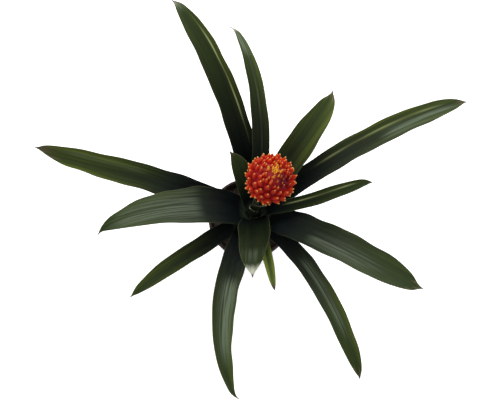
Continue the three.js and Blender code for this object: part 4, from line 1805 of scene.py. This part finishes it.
@dataclass(frozen=True)
class Pot(Assembly):
    """A tapered nursery pot with a stiff band, a foot ring, a middle pad and six drain holes."""

    piece_name: ClassVar[str] = "nursery_pot"
    node: ClassVar[str] = "pot"
    slot: ClassVar[Slot] = Slot.POT
    height: float = 105
    rim_radius: float = 60
    base_radius: float = 43
    wall: float = 1.6
    floor: float = 2
    band_height: float = 12
    band_step: float = 1.8
    stand_height: float = 2.5
    stand_width: float = 5
    pad_radius: float = 9
    rounding: float = 0.8
    drain_holes: int = 6
    drain_radius: float = 4
    drain_circle: float = 26
    drain_sides: int = 32
    sides: int = 160

    def wall_radius(self, z: float) -> float:
        """Radius of the wall's outside at a height."""
        return float(np.interp(z, [0, self.height], [self.base_radius, self.rim_radius - self.band_step]))

    def inner_radius(self, z: float) -> float:
        """Radius of the wall's inside at a height."""
        return self.wall_radius(z) - self.wall

    @property
    def floor_top(self) -> float:
        """Height of the floor's upper face."""
        return self.stand_height + self.floor

    def outline(self) -> np.ndarray:
        """The pot's rounded outline, from the middle of its underside round to that of its floor.

        Returns:
            Radius and height of each point.
        """
        band_foot = self.height - self.band_height
        stand_inside = self.base_radius - self.stand_width
        corners = [
            [0, 0],
            [self.pad_radius, 0],
            [self.pad_radius, self.stand_height],
            [stand_inside, self.stand_height],
            [stand_inside, 0],
            [self.base_radius, 0],
            [self.wall_radius(band_foot), band_foot],
            [self.rim_radius, band_foot],
            [self.rim_radius, self.height],
            [self.inner_radius(self.height), self.height],
            [self.inner_radius(self.floor_top), self.floor_top],
            [0, self.floor_top],
        ]
        return rounded(np.array(corners, float), self.rounding)

    def surface(self) -> Surface:
        """The pot's outline turned about its axis, without the drain holes."""
        return turned(self.outline(), self.sides)

    def cut(self, piece: bpy.types.Object) -> None:
        """Drills the drain holes and leaves the result in the piece's own mesh.

        Args:
            piece: the pot's body.
        """
        reach = 3 * self.floor_top
        pin = np.array([[0, -reach], [self.drain_radius, -reach], [self.drain_radius, reach], [0, reach]])
        turn = turns(self.drain_holes)
        places = self.drain_circle * stacked(np.cos(turn), np.sin(turn))
        pins = [turned(pin, self.drain_sides, place) for place in places]
        cutter = Surface.joined(pins).to_object("drain_pins")
        drill = piece.modifiers.new("drain", "BOOLEAN")
        drill.operation = "DIFFERENCE"
        drill.object = cutter
        drill.solver = "EXACT"
        depsgraph = bpy.context.evaluated_depsgraph_get()
        drilled = bpy.data.meshes.new_from_object(piece.evaluated_get(depsgraph))
        piece.modifiers.clear()
        piece.data = drilled
        bpy.data.objects.remove(cutter)


@dataclass(frozen=True)
class Soil(Assembly):
    """The coir mix that fills the pot, lumpy on top, with loose chips and fibres."""

    piece_name: ClassVar[str] = "coir_soil"
    node: ClassVar[str] = "soil"
    slot: ClassVar[Slot] = Slot.SOIL
    pot: Pot
    crown: Crown
    clearance: float = 0.3
    edge_drop: float = 4.8
    edge_width: float = 1.6
    sides: int = 220
    rings: int = 46
    lump: float = 0.66
    crumb: float = 0.45
    chips: int = 700
    chip_length: Span = (2.0, 6.5)
    chip_width: Span = (0.35, 1.3)
    chip_tilt: float = 0.18
    chip_bend: float = 0.6
    chip_flatness: float = 0.6
    chip_point: float = 0.95
    chip_gap: Span = (2, 4)
    fibre_tone: float = 0.8
    fibre_fall: float = 1.5
    chip_rings: int = 5
    chip_sides: int = 4
    seed: int = 11

    def height_at(self, x: np.ndarray, y: np.ndarray) -> np.ndarray:
        """Height of the top: the level, plus slow waves for the lumps and quick ones for the crumbs.

        Args:
            x: places to the right.
            y: places to the back.

        Returns:
            The height at each.
        """
        slow = np.sin(0.31 * x + 1.3) * np.cos(0.27 * y) + 0.6 * np.sin(0.55 * y - 0.4 * x)
        quick = np.sin(1.7 * x + 0.9 * y) * np.sin(1.9 * y - 0.6 * x + 2)
        quick = quick + 0.6 * np.sin(3.1 * x) * np.sin(2.7 * y)
        return self.crown.soil_level + self.lump * slow + self.crumb * quick

    def ground(self) -> Surface:
        """The soil's body.

        Rings go from the hole's end up its wall, out over the top, down the pot's wall and in over
        the floor. Their centres shift from the crown's axis to the pot's. Seen that way the body
        is inside out, so the rings run the other way round.

        Returns:
            The body's surface.
        """
        crown, pot, gap = self.crown, self.pot, self.clearance
        mouth = crown.shoulder_radius + gap
        hole = np.array(crown.root_outline(gap), float)
        edge_height, bottom = crown.soil_level - self.edge_drop, pot.floor_top + gap
        rim, foot = pot.inner_radius(edge_height) - 2 * gap, pot.inner_radius(bottom) - 2 * gap
        share = np.linspace(0, 1, self.rings)
        top = stacked(lerp(mouth, rim - self.edge_width, share), crown.soil_level)
        outer = np.array([[rim, edge_height], [foot, bottom], [0, bottom]])
        own = np.concatenate([np.ones(len(hole)), 1 - share, np.zeros(len(outer))])[:, None]
        outline = np.concatenate([hole, top, outer])
        rings = rings_about(outline, -turns(self.sides), own * np.array([crown.x, crown.y]))
        lumpy = rings[len(hole) : len(hole) + self.rings]
        lumpy[..., 2] = self.height_at(lumpy[..., 0], lumpy[..., 1])
        body = closed(rings)
        body.values = {Paint.TRAIT: np.zeros_like(body.points)}
        return body

    def litter(self) -> Surface:
        """Chips and fibres that lie in the top: bent slivers of four sides, drawn from one seed.

        Each bends sideways by a parabola, 1 - 4 s squared, and its width is the root of one less
        most of 4 s squared, so that it narrows to both ends.

        Returns:
            Their surface.
        """
        chance = np.random.default_rng(self.seed)
        crown, count = self.crown, self.chips
        inner = crown.shoulder_radius + self.chip_gap[0]
        outer = self.pot.inner_radius(crown.soil_level) - self.chip_gap[1]
        turn = chance.uniform(0, FULL_TURN, count)
        share = np.sqrt(chance.uniform(0, 1, count))
        radius = lerp(inner, outer, share)
        x = radius * np.cos(turn) + crown.x * (1 - share)
        y = radius * np.sin(turn) + crown.y * (1 - share)
        centre = stacked(x, y, self.height_at(x, y))
        heading = chance.uniform(0, FULL_TURN, count)
        tilt = chance.normal(0, self.chip_tilt, count)
        along = stacked(np.cos(heading) * np.cos(tilt), np.sin(heading) * np.cos(tilt), np.sin(tilt))
        across = unit(np.cross(UP, along))
        lift = np.cross(along, across)
        length = chance.uniform(*self.chip_length, count)[:, None]
        width = chance.uniform(*self.chip_width, count)[:, None]
        s = np.linspace(-0.5, 0.5, self.chip_rings)
        phi = turns(self.chip_sides)
        bend = chance.normal(0, self.chip_bend, count)[:, None] * (1 - 4 * s**2)
        middle = centre[:, None] + along[:, None] * (s * length)[..., None]
        middle = middle + across[:, None] * bend[..., None]
        half = (width / 2 * np.sqrt(1.05 - 4 * s**2 * self.chip_point))[..., None]
        rings = (
            middle[:, :, None]
            + across[:, None, None] * (half * np.cos(phi))[..., None]
            + lift[:, None, None] * (half * self.chip_flatness * np.sin(phi))[..., None]
        )
        tone = chance.uniform(0, self.fibre_tone, count)[:, None, None] ** self.fibre_fall
        paint = stacked(np.broadcast_to(tone, rings.shape[:3]), 0.0, 0.0)
        return tubes(rings, values={Paint.TRAIT: paint})

    def surface(self) -> Surface:
        """The body and the litter on it."""
        return Surface.joined([self.ground(), self.litter()])


# The studio


@dataclass(frozen=True)
class Softbox:
    """One square area light that looks at the plant.

    azimuth is measured from the front towards the right and elevation from the floor, in degrees.
    """

    name: str
    azimuth: float
    elevation: float
    distance: float
    size: float
    power: float

    def build(self, target: Vector) -> None:
        """Hangs the light.

        Args:
            target: the point that it looks at.
        """
        light = bpy.data.lights.new(self.name, "AREA")
        light.shape = "SQUARE"
        light.size = self.size
        light.energy = self.power
        a, e = np.radians(self.azimuth), np.radians(self.elevation)
        way = Vector((np.sin(a) * np.cos(e), -np.cos(a) * np.cos(e), np.sin(e)))
        lamp = bpy.data.objects.new(self.name, light)
        lamp.location = target + way * self.distance
        lamp.rotation_mode = "QUATERNION"
        lamp.rotation_quaternion = way.to_track_quat("Z", "Y")
        bpy.context.scene.collection.objects.link(lamp)


@dataclass(frozen=True)
class Studio:
    """White sweep, softboxes, a pale surround and the camera that looks down on the plant."""

    target: tuple[float, float, float] = (0.001, 0.0237, 0.1127)
    camera_elevation: float = 72
    camera_distance: float = 1.6
    focal_pixels: float = 1093
    frame_width: float = 500
    sensor_width: float = 36
    floor_half: float = 6.0
    air_low: float = 0.3
    air_high: float = 1.0
    boxes: tuple[Softbox, ...] = (
        Softbox("back_box", 180, 38, 2.5, 2.2, 42),
        Softbox("back_left_box", -130, 36, 2.5, 1.6, 18),
        Softbox("back_right_box", 130, 36, 2.5, 1.6, 14),
    )

    def floor(self) -> None:
        """Lays the sweep: one quad that reaches far past the view."""
        half = self.floor_half / MM
        points = np.array([[-half, -half, 0], [half, -half, 0], [half, half, 0], [-half, half, 0]])
        sweep = Surface(points, np.array([[0, 1, 2, 3]]), np.zeros((0, 3), int)).to_object("sweep")
        sweep.data.materials.append(FloorFinish().material())
        sweep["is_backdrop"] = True

    def surround(self) -> None:
        """Lights the air all round, more overhead, and shows it white behind the sweep."""
        world = bpy.data.worlds.new("surround")
        world.use_nodes = True
        bpy.context.scene.world = world
        world.node_tree.nodes.clear()
        graph = Graph(world.node_tree)
        way = graph.add("ShaderNodeTexCoord").outputs["Generated"]
        height = graph.add("ShaderNodeSeparateXYZ", {0: way}).outputs[2]
        air = graph.between(height, 0.1, 1.0, self.air_low, self.air_high)
        seen = graph.add("ShaderNodeLightPath").outputs["Is Camera Ray"]
        strength = graph.maths("MAXIMUM", air, seen)
        light = graph.add("ShaderNodeBackground", {"Color": WHITE, "Strength": strength})
        graph.add("ShaderNodeOutputWorld", {"Surface": light.outputs["Background"]})

    def camera(self) -> None:
        """Sets up the camera at the viewing angle that the plant was seen from."""
        camera = bpy.data.cameras.new("camera")
        camera.sensor_width = self.sensor_width
        camera.lens = self.focal_pixels / self.frame_width * self.sensor_width
        camera.clip_end = 100
        e = np.radians(self.camera_elevation)
        back = Vector((0, -np.cos(e), np.sin(e)))
        eye = bpy.data.objects.new("camera", camera)
        eye.location = Vector(self.target) + back * self.camera_distance
        eye.rotation_mode = "QUATERNION"
        eye.rotation_quaternion = back.to_track_quat("Z", "Y")
        bpy.context.scene.collection.objects.link(eye)
        bpy.context.scene.camera = eye

    def build(self) -> None:
        """Sets up everything that isn't the plant."""
        self.floor()
        self.surround()
        for box in self.boxes:
            box.build(Vector(self.target))
        self.camera()
        bpy.context.scene.view_settings.view_transform = "Standard"


def main() -> None:
    """Builds the plant from the pot up and then the studio, and logs both boxes' sizes."""
    logging.basicConfig(level=logging.INFO, format="%(name)s: %(message)s")
    drawn = [list(corner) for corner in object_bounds()]
    crown, pot, head = Crown(), Pot(), FlowerHead()
    pot.build(PotFinish().material())
    Soil(pot, crown).build(SoilFinish().material())
    Stem(crown, head).build(StemFinish().material())
    head.build(BractFinish().material())
    leaf_skin = LeafFinish().material()
    for number, plan in enumerate(LEAVES):
        Leaf(plan, number, crown).build(leaf_skin)
    Studio().build()
    sizes = {"cad": drawn, "visual": [list(corner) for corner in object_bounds()]}
    LOG.info("box of the part %s, box of the looks %s", *sizes.values())


if __name__ == "__main__":
    main()
